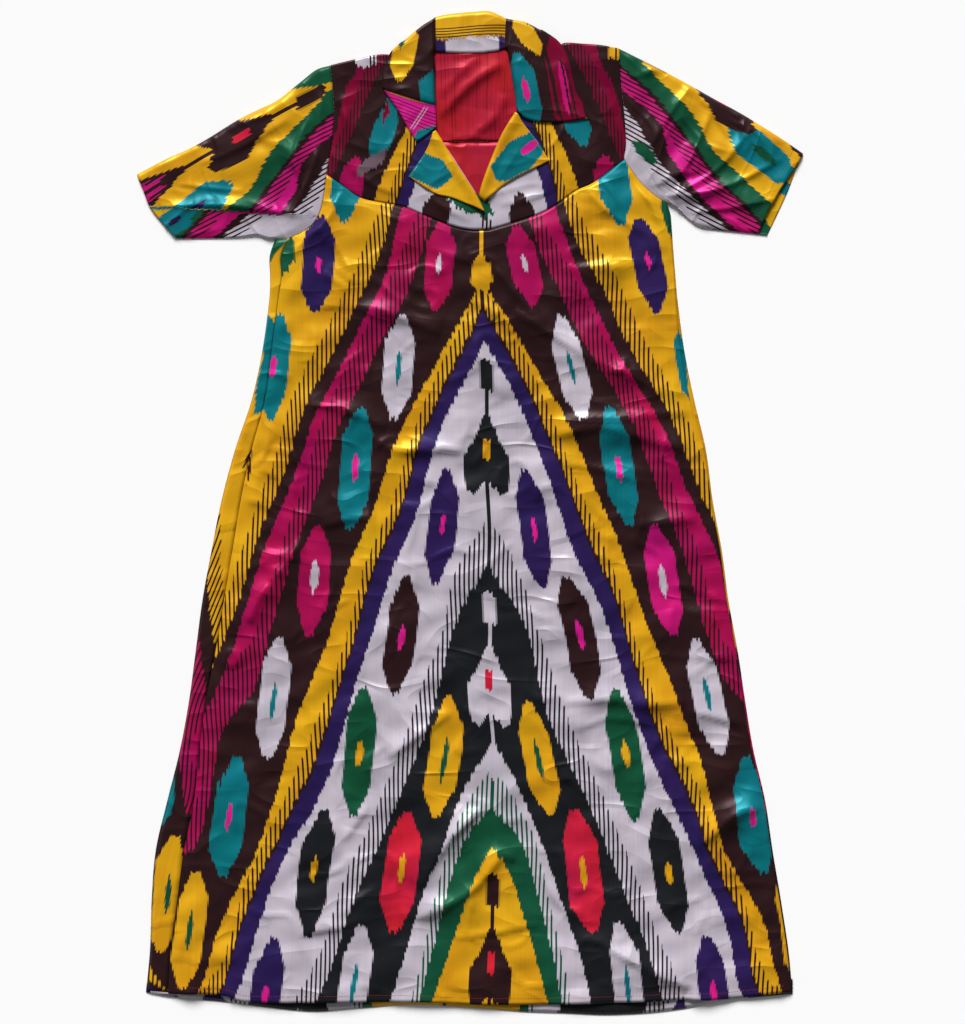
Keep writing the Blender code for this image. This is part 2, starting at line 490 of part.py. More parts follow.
def build_collar():
    """The collar: wings and stand from their sections, one piece with the fall under the back."""
    share = np.array([at for at, _ in ROLL_PROFILE])
    roll = np.array([height for _, height in ROLL_PROFILE])
    weights = np.stack([(1 - share) * (1 - 2 * share), 4 * share * (1 - share),
                        share * (2 * share - 1)], axis=1)
    plan = np.array([
        weights @ np.array([(s.inner_x, s.inner_y), (s.mid_x, s.mid_y), (s.outer_x, s.outer_y)])
        for s in COLLAR
    ])
    low = over_fall(plan) + np.array([s.over * PLY + s.roll * roll for s in COLLAR])
    for row, section in enumerate(COLLAR):
        if section.turned:
            low[row, -1] = FOLD_REST
    dyed = silk("collar silk", MAROON)
    wings = ply("collar_wings", plan, low, dyed)

    top = smooth(FALL_TOP, FALL_STEPS)
    edge = np.stack([top[:, 0], fall_edge(top[:, 0])], axis=1)
    under = patch(top, edge, even((top[0], edge[0]), TURNED_STEPS),
                  even((top[-1], edge[-1]), TURNED_STEPS), inset=(0.0, 0.0, 0.0, 0.0))
    turned_from(ply("collar", under, flat(under), dyed), wings)


def sleeve(name, armhole, cuff, back_cuff, top, under, back_under, creases, material):
    """A sleeve laid flat: its upper ply turned over the lower one at the top edge and at the
    underarm, and open at the cuff and the armhole."""
    lower = patch(top, back_under, armhole, back_cuff,
                  inset=(FOLD_INSET, FOLD_INSET, SEAM_INSET, SEAM_INSET))
    upper = patch(top, under, armhole, cuff)
    low = PLY + creased(creases, upper)
    low[0] = low[-1] = FOLD_REST
    turned_from(ply(name, lower, flat(lower), material),
                ply(name + "_upper_ply", upper, low, material))


def build_sleeves():
    armhole = chain(
        smooth(LEFT_ARM_SHOULDER, SHOULDER_STEPS), smooth(LEFT_ARM_BACK, ARM_BACK_STEPS),
        smooth(LEFT_ARM_BODY, ARM_BODY_STEPS), even(LEFT_ARM_TIP, TIP_STEPS))
    rows = len(armhole) - 1
    cuff = smooth(LEFT_CUFF, rows)
    under = smooth(LEFT_SLEEVE_UNDER, SLEEVE_STEPS)
    sleeve("sleeve_left", armhole, cuff, cuff, smooth(LEFT_SLEEVE_TOP, SLEEVE_STEPS), under,
           under, LEFT_SLEEVE_CREASES, silk("left sleeve silk", GOLD))
    armhole = chain(
        smooth(RIGHT_ARM_SHOULDER, SHOULDER_STEPS), smooth(RIGHT_ARM_BACK, ARM_BACK_STEPS),
        smooth(RIGHT_ARM_BODY, ARM_BODY_STEPS))
    rows = len(armhole) - 1
    sleeve("sleeve_right", armhole, smooth(RIGHT_CUFF, rows), smooth(RIGHT_CUFF_BACK, rows),
           smooth(RIGHT_SLEEVE_TOP, SLEEVE_STEPS), smooth(RIGHT_SLEEVE_UNDER, SLEEVE_STEPS),
           smooth(RIGHT_UNDER_BACK, SLEEVE_STEPS), RIGHT_SLEEVE_CREASES,
           silk("right sleeve silk", CRIMSON))


def main():
    clear_scene()
    build_back()
    build_front()
    build_front_yoke()
    build_lapels()
    build_collar()
    build_sleeves()


if __name__ == "__main__":
    main()
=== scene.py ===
"""The looks of an atlas silk dress, laid flat and face up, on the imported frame.

Metres, in the frame of the solids: X to the right of the picture, Y from the hem towards the
collar, Z up. Left and right are the picture's. The dyed pattern is charted in millimetres of
cloth, from the warp that is fold-dyed about a centre line.
"""

import logging
import math
from dataclasses import dataclass, field, replace
from enum import Enum
from typing import NamedTuple, Sequence

import bmesh
import bpy
import numpy as np
from mathutils import Matrix


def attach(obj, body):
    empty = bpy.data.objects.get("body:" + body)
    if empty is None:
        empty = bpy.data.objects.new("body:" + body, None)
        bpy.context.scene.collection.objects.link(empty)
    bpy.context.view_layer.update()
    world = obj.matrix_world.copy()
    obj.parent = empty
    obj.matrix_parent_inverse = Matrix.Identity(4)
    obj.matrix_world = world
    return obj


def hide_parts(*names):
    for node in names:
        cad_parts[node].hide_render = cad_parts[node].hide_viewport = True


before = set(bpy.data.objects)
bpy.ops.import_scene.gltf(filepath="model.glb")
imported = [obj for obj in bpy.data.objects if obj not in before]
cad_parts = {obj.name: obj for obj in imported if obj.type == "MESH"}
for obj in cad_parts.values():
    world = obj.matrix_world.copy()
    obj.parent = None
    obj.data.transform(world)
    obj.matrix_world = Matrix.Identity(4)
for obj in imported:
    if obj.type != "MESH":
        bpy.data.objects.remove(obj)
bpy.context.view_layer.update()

LOG = logging.getLogger("dress")
Line = tuple[tuple[float, float], ...]
Points = Sequence[Sequence[float]] | np.ndarray
Scale = tuple[float, float, float]
Socket = bpy.types.NodeSocket
Material = bpy.types.Material

MM = 1000.0  # millimetres in a metre
DIGITS = 7  # decimals that a length in metres is kept to
PLY = 0.0015  # height of one ply over the next
CLOTH = 0.0009  # wall of a ply as it is shown
SEAM_INSET = 0.00015  # how far a panel stops short of its outline
MERGE = 1e-5  # points of a piece that are closer than this become one
CURVE_STEPS = 16
NARROWEST_CORNER = 0.5  # limits how far a sharp corner moves when its outline is inset


class Dye(Enum):
    """The dyes of the warp, and one painted sheen, as linear red, green and blue."""

    GOLD = (0.620, 0.300, 0.008)
    BROWN = (0.022, 0.008, 0.009)
    MAGENTA = (0.335, 0.004, 0.068)
    ROSE = (0.480, 0.007, 0.145)
    CRIMSON = (0.165, 0.002, 0.025)
    PINK = (0.620, 0.012, 0.220)
    WHITE = (0.480, 0.430, 0.500)
    PURPLE = (0.020, 0.010, 0.068)
    TEAL = (0.003, 0.140, 0.168)
    GREEN = (0.006, 0.066, 0.031)
    BLACK = (0.010, 0.011, 0.013)
    RED = (0.500, 0.012, 0.035)
    INSIDE = (0.360, 0.012, 0.028)
    WINE = (0.245, 0.008, 0.017)
    # A painted sheen, not a dye: a greyish tone that stands for light caught on the brown silk.
    PAINTED_SHEEN = (0.130, 0.085, 0.105)


class Crease(NamedTuple):
    """A soft crease along a bent line, from its start through its middle to its end."""

    x0: float
    y0: float
    x1: float
    y1: float
    x2: float
    y2: float
    width: float
    height: float


class Side(NamedTuple):
    """One height of the skirt: its left fold, the side seam on the front, and its right edges."""

    y: float
    fold_left: float
    seam_left: float
    front_right: float
    back_right: float


class Section(NamedTuple):
    """One section of the collar, from its rolled inner edge to its outer edge."""

    outer_x: float
    outer_y: float
    mid_x: float
    mid_y: float
    inner_x: float
    inner_y: float
    roll: float
    over: float
    turned: int


def metres(row: Sequence[float]) -> tuple[float, ...]:
    """Returns a row of millimetres in metres."""
    return tuple(round(value / MM, DIGITS) for value in row)


def outline(*points: tuple[float, float]) -> Line:
    """Returns a line through points in millimetres."""
    return tuple(metres(point) for point in points)


def creases(*rows: Sequence[float]) -> tuple[Crease, ...]:
    """Returns creases from rows in millimetres."""
    return tuple(Crease(*metres(row)) for row in rows)


@dataclass(frozen=True)
class Cut:
    """The seam lines, edges and folds of every piece, and the creases that the cloth lies in."""

    hem_depth: float = 0.018
    fall_y: float = 0.535
    fall_middle_x: float = 0.008
    fall_rise: float = 0.018
    collar_half: float = 0.105
    lift_ramp: float = 0.060
    lift_margin: float = 0.024
    # The armholes and shoulders, each a smooth curve through x, y
    left_shoulder: Line = outline(
        (-167, 537), (-146, 542), (-122, 547.5), (-105, 550), (-97, 548), (-88, 541), (-70, 541),
        (-49, 546))
    right_shoulder: Line = outline(
        (50, 550), (80, 548), (94, 549), (104, 557), (113, 563.5), (132, 563), (156, 561),
        (179, 557))
    back_neck_edge: Line = outline(
        (-167, 537), (-146, 542), (-122, 547.5), (-105, 550), (-90, 550), (-60, 552), (-43, 554.5),
        (0, 555), (41, 557.5), (80, 553), (96, 553), (113, 563.5), (132, 563), (156, 561),
        (179, 557))
    left_arm_shoulder: Line = outline((-167, 537), (-163, 484), (-166, 443))
    left_arm_back: Line = outline((-166, 443), (-169, 425), (-172, 406))
    left_arm_body: Line = outline((-172, 406), (-176, 377), (-181, 358), (-192, 343), (-216, 330))
    left_arm_tip: Line = outline((-216, 330), (-234, 328))
    right_arm_shoulder: Line = outline((179, 557), (181, 520), (185, 478), (187, 448))
    right_arm_back: Line = outline((187, 448), (186.5, 436), (185, 424))
    right_arm_body: Line = outline((185, 424), (193, 412), (205, 396), (220, 382), (236, 371))
    right_arm_tip: Line = outline((236, 371), (241, 357))
    # The front yoke: its curved lower seam, and the neck edges that the lapels roll over
    yoke_seam_left: Line = outline(
        (-172, 406), (-150, 391), (-128, 377), (-82, 368), (-59, 359), (-26, 346), (0, 340),
        (23, 340))
    yoke_seam_right: Line = outline(
        (23, 340), (44, 346), (90, 362), (126, 386), (149, 397), (185, 424))
    overlap_edge: Line = outline((5, 340), (23, 340))
    neck_edge_left: Line = outline(
        (-49, 546), (-47, 520), (-45, 490), (-43, 463), (-18, 423), (7, 384), (18, 365), (23, 340))
    neck_edge_right: Line = outline(
        (50, 550), (52, 530), (56, 511), (58, 487), (37, 446), (10, 383), (7, 370), (5, 340))
    overlap_from_x: float = -0.050
    overlap_to_x: float = -0.008
    overlap_from_y: float = 0.470
    overlap_to_y: float = 0.412
    # The lapels, each with a short top side, an outer side, a lower side and the rolled
    # neck side
    lapel_left_top: Line = outline((-44.5, 456), (-41, 459))
    lapel_left_outer: Line = outline((-44.5, 456), (-53, 434), (-74, 403))
    lapel_left_lower: Line = outline((-74, 403), (-42, 383), (-20, 377), (18.5, 361))
    lapel_left_neck: Line = outline((-41, 459), (-15.5, 417.5), (7.5, 382), (18.5, 361))
    lapel_right_top: Line = outline((54, 481), (57.5, 478))
    lapel_right_outer: Line = outline((57.5, 478), (65.5, 465), (83, 443), (95, 422))
    lapel_right_lower: Line = outline((17, 373), (47, 397), (95, 422))
    lapel_right_neck: Line = outline((54, 481), (34, 446), (11.5, 386), (17, 373))
    lapel_roll: float = 0.0022
    # The sleeves
    left_sleeve_top: Line = outline(
        (-167, 537), (-184, 532), (-201, 519), (-230, 496), (-254, 484), (-278, 472), (-315, 449),
        (-339, 436), (-366, 424), (-400, 406))
    left_sleeve_under: Line = outline(
        (-234, 328), (-247, 330), (-262, 334), (-287, 330), (-324, 329), (-352, 329))
    left_cuff: Line = outline((-400, 406), (-392, 387), (-382, 364), (-352, 329))
    right_sleeve_top: Line = outline(
        (179, 557), (223, 535), (257, 517), (290, 498.5), (324, 480), (352, 463), (374, 449),
        (400, 431))
    right_sleeve_under: Line = outline(
        (236, 371), (251, 364), (264, 350), (278, 342), (299, 339), (328, 336), (345, 334))
    right_cuff: Line = outline((400, 431), (389, 412), (373, 389), (356, 359), (345, 334))
    right_cuff_back: Line = outline((400, 431), (391, 412), (380, 383), (356.5, 333))
    right_under_back: Line = outline(
        (236, 371), (251, 364), (264, 350), (278, 342), (299, 339), (328, 336), (356.5, 333))
    # The skirt's sides: the fold at the left edge, the side seam that lies on the front, and
    # the right edges of the front and of the back, which shows a little beyond it
    sides: tuple[Side, ...] = tuple(Side(*metres(row)) for row in (
        (308, -240.5, -227, 243.5, 244.5), (284, -240, -226, 245.5, 246.5),
        (256, -241, -230, 247, 249), (196, -249, -238, 253, 257), (136, -262, -246, 264, 269),
        (76, -282, -262, 281, 283), (16, -298, -275, 289, 291), (-44, -310, -285, 300, 302),
        (-104, -321, -295, 308, 310), (-164, -329, -305, 319, 321), (-224, -337, -317, 328, 330),
        (-284, -348, -325, 338, 340), (-344, -363, -331, 352, 354), (-404, -377, -343, 361, 363),
        (-464, -382, -351, 371, 373), (-524, -384, -359, 380, 382)))
    front_hem: Line = outline(
        (-362, -576), (-298, -578), (-269, -586), (-204, -587), (-124, -586), (-60, -586),
        (12, -589), (97, -589), (200, -586), (252, -583), (301, -583), (385, -574))
    back_hem: Line = outline(
        (-389, -575), (-348, -582), (-298, -586), (-252, -592), (-188, -598), (-132, -594),
        (-72, -590), (-6, -593), (60, -598), (113, -600), (162, -602), (212, -600), (254, -595),
        (282, -590), (316, -584), (387, -577))
    hem_ply_left_x: float = -0.356
    # The collar, from the folded tip of its left wing round the back neck to its right tip.
    # over is the number of plies that a section lies on, roll the height of its rolled
    # inner edge, and turned is 1 where its outer edge goes under the back yoke.
    collar: tuple[Section, ...] = tuple(Section(*metres(row[:7]), *row[7:]) for row in (
        (-64, 445, -52, 453, -40.5, 462.5, 0, 2, 0), (-74, 461, -58, 465, -40.5, 471, 0, 2, 0),
        (-88, 485, -66, 481, -41, 480, 0.3, 2, 0), (-104, 507, -72, 495, -41.5, 488, 1, 2, 0),
        (-105, 512, -73, 500, -41.5, 492.5, 2, 3, 0), (-105, 526, -73, 516, -42, 508, 3, 2.6, 0),
        (-100, 541, -70, 532, -42, 524, 3.4, 2.2, 0), (-95, 552, -68, 544, -42, 536, 3.4, 2, 0),
        (-88, 559, -65, 551, -42.5, 542, 3.4, 2, 0), (-80, 566, -62, 557, -43, 547, 3.4, 2, 1),
        (-60, 583, -51, 567, -43, 550, 3.4, 2, 1), (-46, 592, -45, 573, -43.5, 551.5, 3, 2, 1),
        (-41, 595, -41, 575, -40, 552.5, 0, 1, 1), (-28, 598, -28, 576, -28, 552, 0, 1, 1),
        (-11, 600, -11, 576, -10, 551.5, 0, 1, 1), (8, 601.5, 6, 577, 5, 551.5, 0, 1, 1),
        (23, 602, 21, 578, 19, 552, 0, 1, 1), (36, 597, 34, 577, 33, 554, 0, 1, 1),
        (43, 593.5, 42, 575, 40.5, 556, 0, 1, 1), (50, 592, 48, 574, 44.5, 555.5, 3, 2, 1),
        (66, 589, 56, 571, 45, 552, 3.4, 2, 1), (84, 580, 66, 565, 46, 547, 3.4, 2, 1),
        (97, 572, 73, 558, 47, 542, 3.4, 2, 0), (106, 565, 79, 552, 48, 537, 3.4, 2, 0),
        (114, 554, 82, 543, 49, 531, 3.4, 2, 0), (120, 535, 86, 528, 50.5, 520, 3.4, 2, 0),
        (127, 505, 90, 505, 53, 506, 3, 2, 0), (136, 490, 92, 487, 54.5, 496, 2, 2, 0),
        (144, 473, 80, 469, 55, 487, 1, 2, 0)))
    # The largest creases, each a soft ridge along a bent line: its start, middle and end, its
    # width and its height
    front_creases: tuple[Crease, ...] = creases(
        (-148, 247, -101, 239, -35, 215, 17, 4), (52, 241, 143, 184, 230, 142, 18, 5),
        (-194, 128, -156, 124, -101, 102, 16, 3.5), (-118, 90, -86, 74, -7, 77, 16, 3.5),
        (101, 98, 186, 100, 262, 78, 17, 5), (-178, -17, -150, -6, -112, -4, 18, 4),
        (-205, -31, -246, -90, -266, -132, 18, 5.5), (192, -16, 230, -12, 272, -7, 17, 4),
        (-97, -293, -61, -266, -23, -240, 18, 4.5), (120, -250, 160, -224, 257, -228, 18, 5),
        (-61, -449, -23, -390, 20, -350, 18, 4.5), (-66, -486, 0, -455, 42, -402, 20, 6),
        (280, -394, 318, -364, 352, -353, 18, 5.5), (122, -514, 200, -540, 262, -566, 20, 6),
        (-170, -500, -125, -470, -100, -440, 20, 4.5))
    left_sleeve_creases: tuple[Crease, ...] = creases(
        (-372, 366, -285, 366, -198, 356, 14, 2.5), (-190, 440, -250, 425, -320, 405, 18, 3.5),
        (-200, 480, -250, 462, -300, 432, 16, 3))
    right_sleeve_creases: tuple[Crease, ...] = creases(
        (222, 396, 280, 430, 355, 445, 17, 4.5), (212, 420, 236, 460, 262, 498, 16, 4),
        (235, 385, 290, 385, 350, 372, 16, 4))
    yoke_creases: tuple[Crease, ...] = creases(
        (-155, 500, -140, 455, -110, 400, 17, 2.5), (172, 455, 150, 425, 115, 398, 14, 2.5))
    # The sharper wrinkles over them
    front_wrinkles: tuple[Crease, ...] = creases(
        (-148, 247, -101, 239, -35, 215, 6, 3.3), (-194, 128, -156, 124, -101, 102, 5, 3),
        (-118, 90, -86, 74, -7, 77, 5, 3.3), (-40, 79, -18, 73, -4, 68, 4, 2.1),
        (-54, 38, -44, 36, -36, 31, 4, 1.8), (-216, 35, -204, 40, -192, 47, 4, 1.8),
        (-178, -17, -144, -8, -118, -6, 5, 3), (-205, -31, -216, -53, -240, -83, 6, 3.9),
        (-240, -83, -254, -102, -265, -130, 6, 3.6), (-244, -136, -230, -152, -216, -155, 4, 2.1),
        (-216, -155, -209, -148, -203, -138, 4, 1.8), (52, 241, 96, 214, 143, 184, 6, 3.6),
        (143, 184, 197, 161, 230, 142, 6, 3.6), (120, 114, 174, 113, 266, 121, 5, 3.3),
        (101, 92, 154, 101, 186, 95, 5, 3), (186, 95, 222, 84, 258, 76, 5, 2.7),
        (109, 59, 154, 52, 209, 35, 5, 3), (260, 65, 271, 68, 282, 73, 4, 1.8),
        (192, -16, 230, -12, 269, -7, 5, 3), (154, -29, 164, -30, 175, -31, 4, 1.5),
        (154, -54, 166, -55, 179, -55, 4, 1.5), (247, -86, 276, -96, 307, -106, 5, 2.7),
        (283, -101, 295, -100, 307, -97, 4, 1.5), (5, 90, 23, 88, 41, 86, 4, 1.8),
        (-97, -293, -61, -266, -23, -240, 5, 3.3), (-23, -390, -7, -374, 10, -358, 5, 2.7),
        (-61, -449, -23, -390, 20, -350, 6, 3.6), (-61, -484, -2, -455, 42, -406, 7, 5.1),
        (42, -406, 47, -412, 53, -416, 5, 2.7), (-155, -484, -132, -462, -110, -449, 5, 2.7),
        (-152, -394, -136, -372, -120, -350, 5, 2.4), (-204, -506, -164, -498, -126, -487, 5, 2.7),
        (-23, -510, 30, -503, 82, -493, 5, 2.7), (82, -428, 108, -470, 137, -481, 6, 3.9),
        (127, -516, 152, -514, 215, -548, 6, 4.8), (215, -548, 240, -560, 266, -569, 6, 4.2),
        (108, -312, 124, -325, 140, -338, 5, 2.7), (112, -228, 163, -224, 196, -230, 5, 3),
        (196, -230, 228, -230, 257, -228, 5, 3), (266, -238, 300, -247, 332, -257, 5, 3),
        (124, -260, 169, -247, 222, -253, 5, 2.7), (228, -295, 247, -299, 266, -302, 5, 2.4),
        (280, -394, 322, -360, 355, -353, 6, 4.8), (266, -432, 316, -431, 365, -428, 3.5, 1.6),
        (228, -174, 274, -175, 319, -176, 3.5, 1.6), (228, -312, 228, -348, 228, -384, 3.5, 1.5),
        (112, -481, 134, -487, 156, -493, 5, 2.4), (-10, -234, 6, -240, 23, -247, 4, 2.1),
        (-250, 78, -222, 73, -204, 61, 4.5, 2.4), (-254, 52, -234, 44, -218, 30, 4.5, 2.3),
        (-276, 16, -250, 10, -228, -5, 4.5, 2.3), (-150, 388, -168, 368, -204, 342, 6, 3.3),
        (-158, 370, -182, 342, -214, 313, 6, 3.3), (-168, 328, -150, 301, -142, 276, 6, 2.7),
        (-178, 286, -158, 275, -142, 268, 5, 2.4), (204, 301, 168, 296, 108, 294, 6, 3.9),
        (242, 301, 222, 301, 204, 301, 5, 2.7), (24, 301, 60, 256, 90, 226, 7, 3.9),
        (0, 256, 36, 234, 52, 214, 6, 3), (138, 388, 168, 358, 222, 328, 6, 2.7),
        (190, 406, 216, 370, 238, 328, 6, 3), (-48, 316, 0, 301, 36, 306, 6, 2.1))
    left_sleeve_wrinkles: tuple[Crease, ...] = creases(
        (-372, 367, -288, 367, -200, 356, 5, 3.2), (-250, 448, -222, 436, -204, 406, 6, 2.8),
        (-324, 418, -276, 436, -216, 472, 7, 2.5), (-192, 474, -209, 436, -204, 388, 6, 2.8),
        (-182, 436, -197, 394, -216, 358, 5, 2.8), (-348, 394, -306, 388, -270, 385, 5, 2.5),
        (-288, 462, -250, 474, -204, 502, 6, 2), (-178, 505, -182, 472, -178, 448, 5, 2))
    right_sleeve_wrinkles: tuple[Crease, ...] = creases(
        (238, 388, 264, 424, 290, 481, 6, 3.6), (242, 378, 294, 409, 338, 460, 6, 3.3),
        (246, 371, 312, 392, 374, 424, 6, 3.3), (264, 359, 318, 366, 366, 376, 5, 3),
        (216, 436, 238, 474, 264, 510, 6, 3.3), (222, 392, 247, 404, 276, 409, 5, 2.4),
        (276, 496, 290, 481, 310, 450, 5, 2.7), (295, 505, 318, 481, 329, 448, 5, 2.4),
        (324, 469, 348, 448, 360, 418, 5, 2.4), (194, 520, 228, 532, 264, 539, 6, 2.7),
        (233, 380, 264, 380, 300, 388, 5, 3))
    yoke_wrinkles: tuple[Crease, ...] = creases(
        (-162, 502, -150, 472, -144, 448, 6, 2.1), (-142, 412, -118, 394, -86, 380, 6, 2.3),
        (-78, 484, -86, 454, -108, 430, 6, 2.1), (-150, 445, -126, 436, -102, 436, 6, 1.6),
        (156, 508, 160, 478, 154, 448, 6, 2.3), (102, 436, 96, 418, 90, 394, 5, 1.6),
        (114, 466, 103, 448, 90, 433, 5, 2.1), (-48, 376, -24, 361, 0, 349, 5, 1.8),
        (36, 370, 60, 372, 90, 382, 5, 1.6), (186, 508, 182, 472, 185, 436, 5, 1.8))
    back_yoke_wrinkles: tuple[Crease, ...] = creases(
        (-24, 447, 0, 450, 24, 447, 4, 1.8), (6, 446, 8, 452, 12, 464, 3, 1.8),
        (-14, 446, -18, 452, -24, 460, 3, 1.4), (-36, 474, 0, 512, 38, 538, 8.5, 5.2),
        (-34, 500, -10, 528, 10, 544, 6, 2.8), (12, 456, 30, 474, 44, 500, 8, 3.6))
    side_puckers: tuple[Crease, ...] = creases(
        (-286, 96, -276, 92, -266, 90, 3.5, 1.2), (-288, 70, -278, 68, -268, 62, 3.5, 1.2),
        (-292, 44, -282, 40, -272, 36, 3.5, 1.2))
    lapel_wrinkles: tuple[Crease, ...] = creases(
        (-56, 386, -40, 398, -20, 410, 4, 1.2), (36, 400, 52, 424, 66, 446, 6, 1))
    collar_wrinkles: tuple[Crease, ...] = creases(
        (-96, 530, -80, 536, -58, 530, 4, 1.4), (100, 540, 104, 520, 108, 500, 5, 1.4),
        (72, 480, 78, 500, 80, 520, 5, 1.2), (-12, 560, -12, 580, -10, 598, 2.5, 0.8),
        (8, 560, 10, 580, 12, 598, 2.5, 0.8))

    def column(self, name: str, first: Sequence[float], last: Sequence[float]) -> Line:
        """Returns one edge of the skirt, from first to last, by a column of its sides."""
        return (tuple(first), *[(getattr(row, name), row.y) for row in self.sides], tuple(last))

    @property
    def left_seam(self) -> Line:
        """Returns the left side seam, which lies on the front, from the armhole to the hem."""
        return self.column("seam_left", self.left_arm_tip[0], self.front_hem[0])

    @property
    def right_side(self) -> Line:
        """Returns the right edge of the front, from the armhole to the hem."""
        return self.column("front_right", self.right_arm_body[-1], self.front_hem[-1])

    @property
    def left_armhole(self) -> Line:
        """Returns the left armhole, from the shoulder to the tip under the arm."""
        return (self.left_arm_shoulder + self.left_arm_back[1:] + self.left_arm_body[1:]
                + self.left_arm_tip[1:])

    @property
    def right_armhole(self) -> Line:
        """Returns the right armhole, from the shoulder to the sleeve's seam under the arm."""
        return self.right_arm_shoulder + self.right_arm_back[1:] + self.right_arm_body[1:]


# Laying out a panel


def even(points: Points, count: int) -> np.ndarray:
    """Spaces points evenly along a polyline.

    Args:
        points: the polyline's corners, of any dimension.
        count: the number of spaces.

    Returns:
        count + 1 points.
    """
    line = np.asarray(points, float)
    run = np.concatenate([[0.0], np.cumsum(np.linalg.norm(np.diff(line, axis=0), axis=1))])
    at = np.linspace(0.0, run[-1], count + 1)
    return np.stack([np.interp(at, run, column) for column in line.T], axis=1)


def curve_through(points: Points, steps: int = CURVE_STEPS) -> np.ndarray:
    """Runs a smooth curve through points.

    Args:
        points: the points to pass through, of any dimension.
        steps: the number of steps from one point to the next.

    Returns:
        The fine points of the curve.
    """
    known = np.asarray(points, float)
    ends = np.vstack([2 * known[0] - known[1], known, 2 * known[-1] - known[-2]])
    t = np.linspace(0.0, 1.0, steps, endpoint=False)[:, None]
    fine = [(2 * b + (c - a) * t + (2 * a - 5 * b + 4 * c - d) * t**2
             + (3 * b - a - 3 * c + d) * t**3) / 2
            for a, b, c, d in zip(ends, ends[1:], ends[2:], ends[3:])]
    return np.vstack([*fine, known[-1:]])


def smooth(points: Points, count: int) -> np.ndarray:
    """Spaces points evenly along the smooth curve through points.

    Args:
        points: the points that the curve passes through.
        count: the number of spaces.

    Returns:
        count + 1 points.
    """
    return even(curve_through(points), count)


def chain(*curves: np.ndarray) -> np.ndarray:
    """Returns curves that follow each other as one."""
    return np.vstack([curves[0], *[curve[1:] for curve in curves[1:]]])


def climb(value: np.ndarray, start: float, end: float) -> np.ndarray:
    """Ramps smoothly from 0 to 1.

    Args:
        value: where to read the ramp.
        start: the value below which it is 0.
        end: the value past which it is 1.

    Returns:
        The ramp at each value.
    """
    t = np.clip((value - start) / (end - start), 0.0, 1.0)
    return t * t * (3 - 2 * t)


def inset_loop(loop: np.ndarray, distance: float) -> np.ndarray:
    """Moves a closed outline inwards.

    Args:
        loop: the outline's corners.
        distance: how far its sides move.

    Returns:
        The moved corners.
    """
    x, y = loop[:, 0], loop[:, 1]
    turn = np.sign(np.sum(x * np.roll(y, -1) - np.roll(x, -1) * y))
    along = np.roll(loop, -1, axis=0) - loop
    along /= np.linalg.norm(along, axis=1)[:, None]
    inward = turn * np.stack([-along[:, 1], along[:, 0]], axis=1)
    both = inward + np.roll(inward, 1, axis=0)
    both /= np.linalg.norm(both, axis=1)[:, None]
    reach = 1.0 / np.maximum(np.sum(both * inward, axis=1), NARROWEST_CORNER)
    return loop + both * (distance * reach)[:, None]


def patch(top: np.ndarray, bottom: np.ndarray, left: np.ndarray, right: np.ndarray) -> np.ndarray:
    """Fills the outline given by four sides with rows of points.

    Args:
        top: the upper side, from left to right.
        bottom: the lower side, from left to right.
        left: the left side, from top to bottom.
        right: the right side, from top to bottom.

    Returns:
        The points, as rows by columns by x and y.
    """
    sides = (top, right, bottom[::-1], left[::-1])
    loop = inset_loop(np.vstack([side[:-1] for side in sides]), SEAM_INSET)
    loop = np.vstack([loop, loop[:1]])
    starts = np.cumsum([0] + [len(side) - 1 for side in sides])
    top, right, bottom, left = (loop[a:b + 1] for a, b in zip(starts, starts[1:]))
    bottom, left = bottom[::-1], left[::-1]
    u = np.linspace(0.0, 1.0, len(top))[None, :, None]
    v = np.linspace(0.0, 1.0, len(left))[:, None, None]
    ruled = (1 - v) * top[None] + v * bottom[None] + (1 - u) * left[:, None] + u * right[:, None]
    corners = ((1 - u) * (1 - v) * top[0] + u * (1 - v) * top[-1]
               + (1 - u) * v * bottom[0] + u * v * bottom[-1])
    return ruled - corners


def edge_distance(plan: np.ndarray, sides: str = "tblr") -> np.ndarray:
    """Measures how far each point of a panel is from its edges.

    Args:
        plan: the panel's rows of points.
        sides: the edges that count, of top, bottom, left and right.

    Returns:
        The distance along the rows and columns to the nearest of those edges.
    """
    down = np.zeros(plan.shape[:2])
    down[1:] = np.cumsum(np.linalg.norm(np.diff(plan, axis=0), axis=2), axis=0)
    across = np.zeros(plan.shape[:2])
    across[:, 1:] = np.cumsum(np.linalg.norm(np.diff(plan, axis=1), axis=2), axis=1)
    far = {"t": down, "b": down[-1:] - down, "l": across, "r": across[:, -1:] - across}
    return np.min([far[side] for side in sides], axis=0)


class Fold(Enum):
    """How a crease is rounded: the power of its fall-off and the lean of its crest."""

    SOFT = (2.0, 0.0)
    SHARP = (1.15, 0.45)


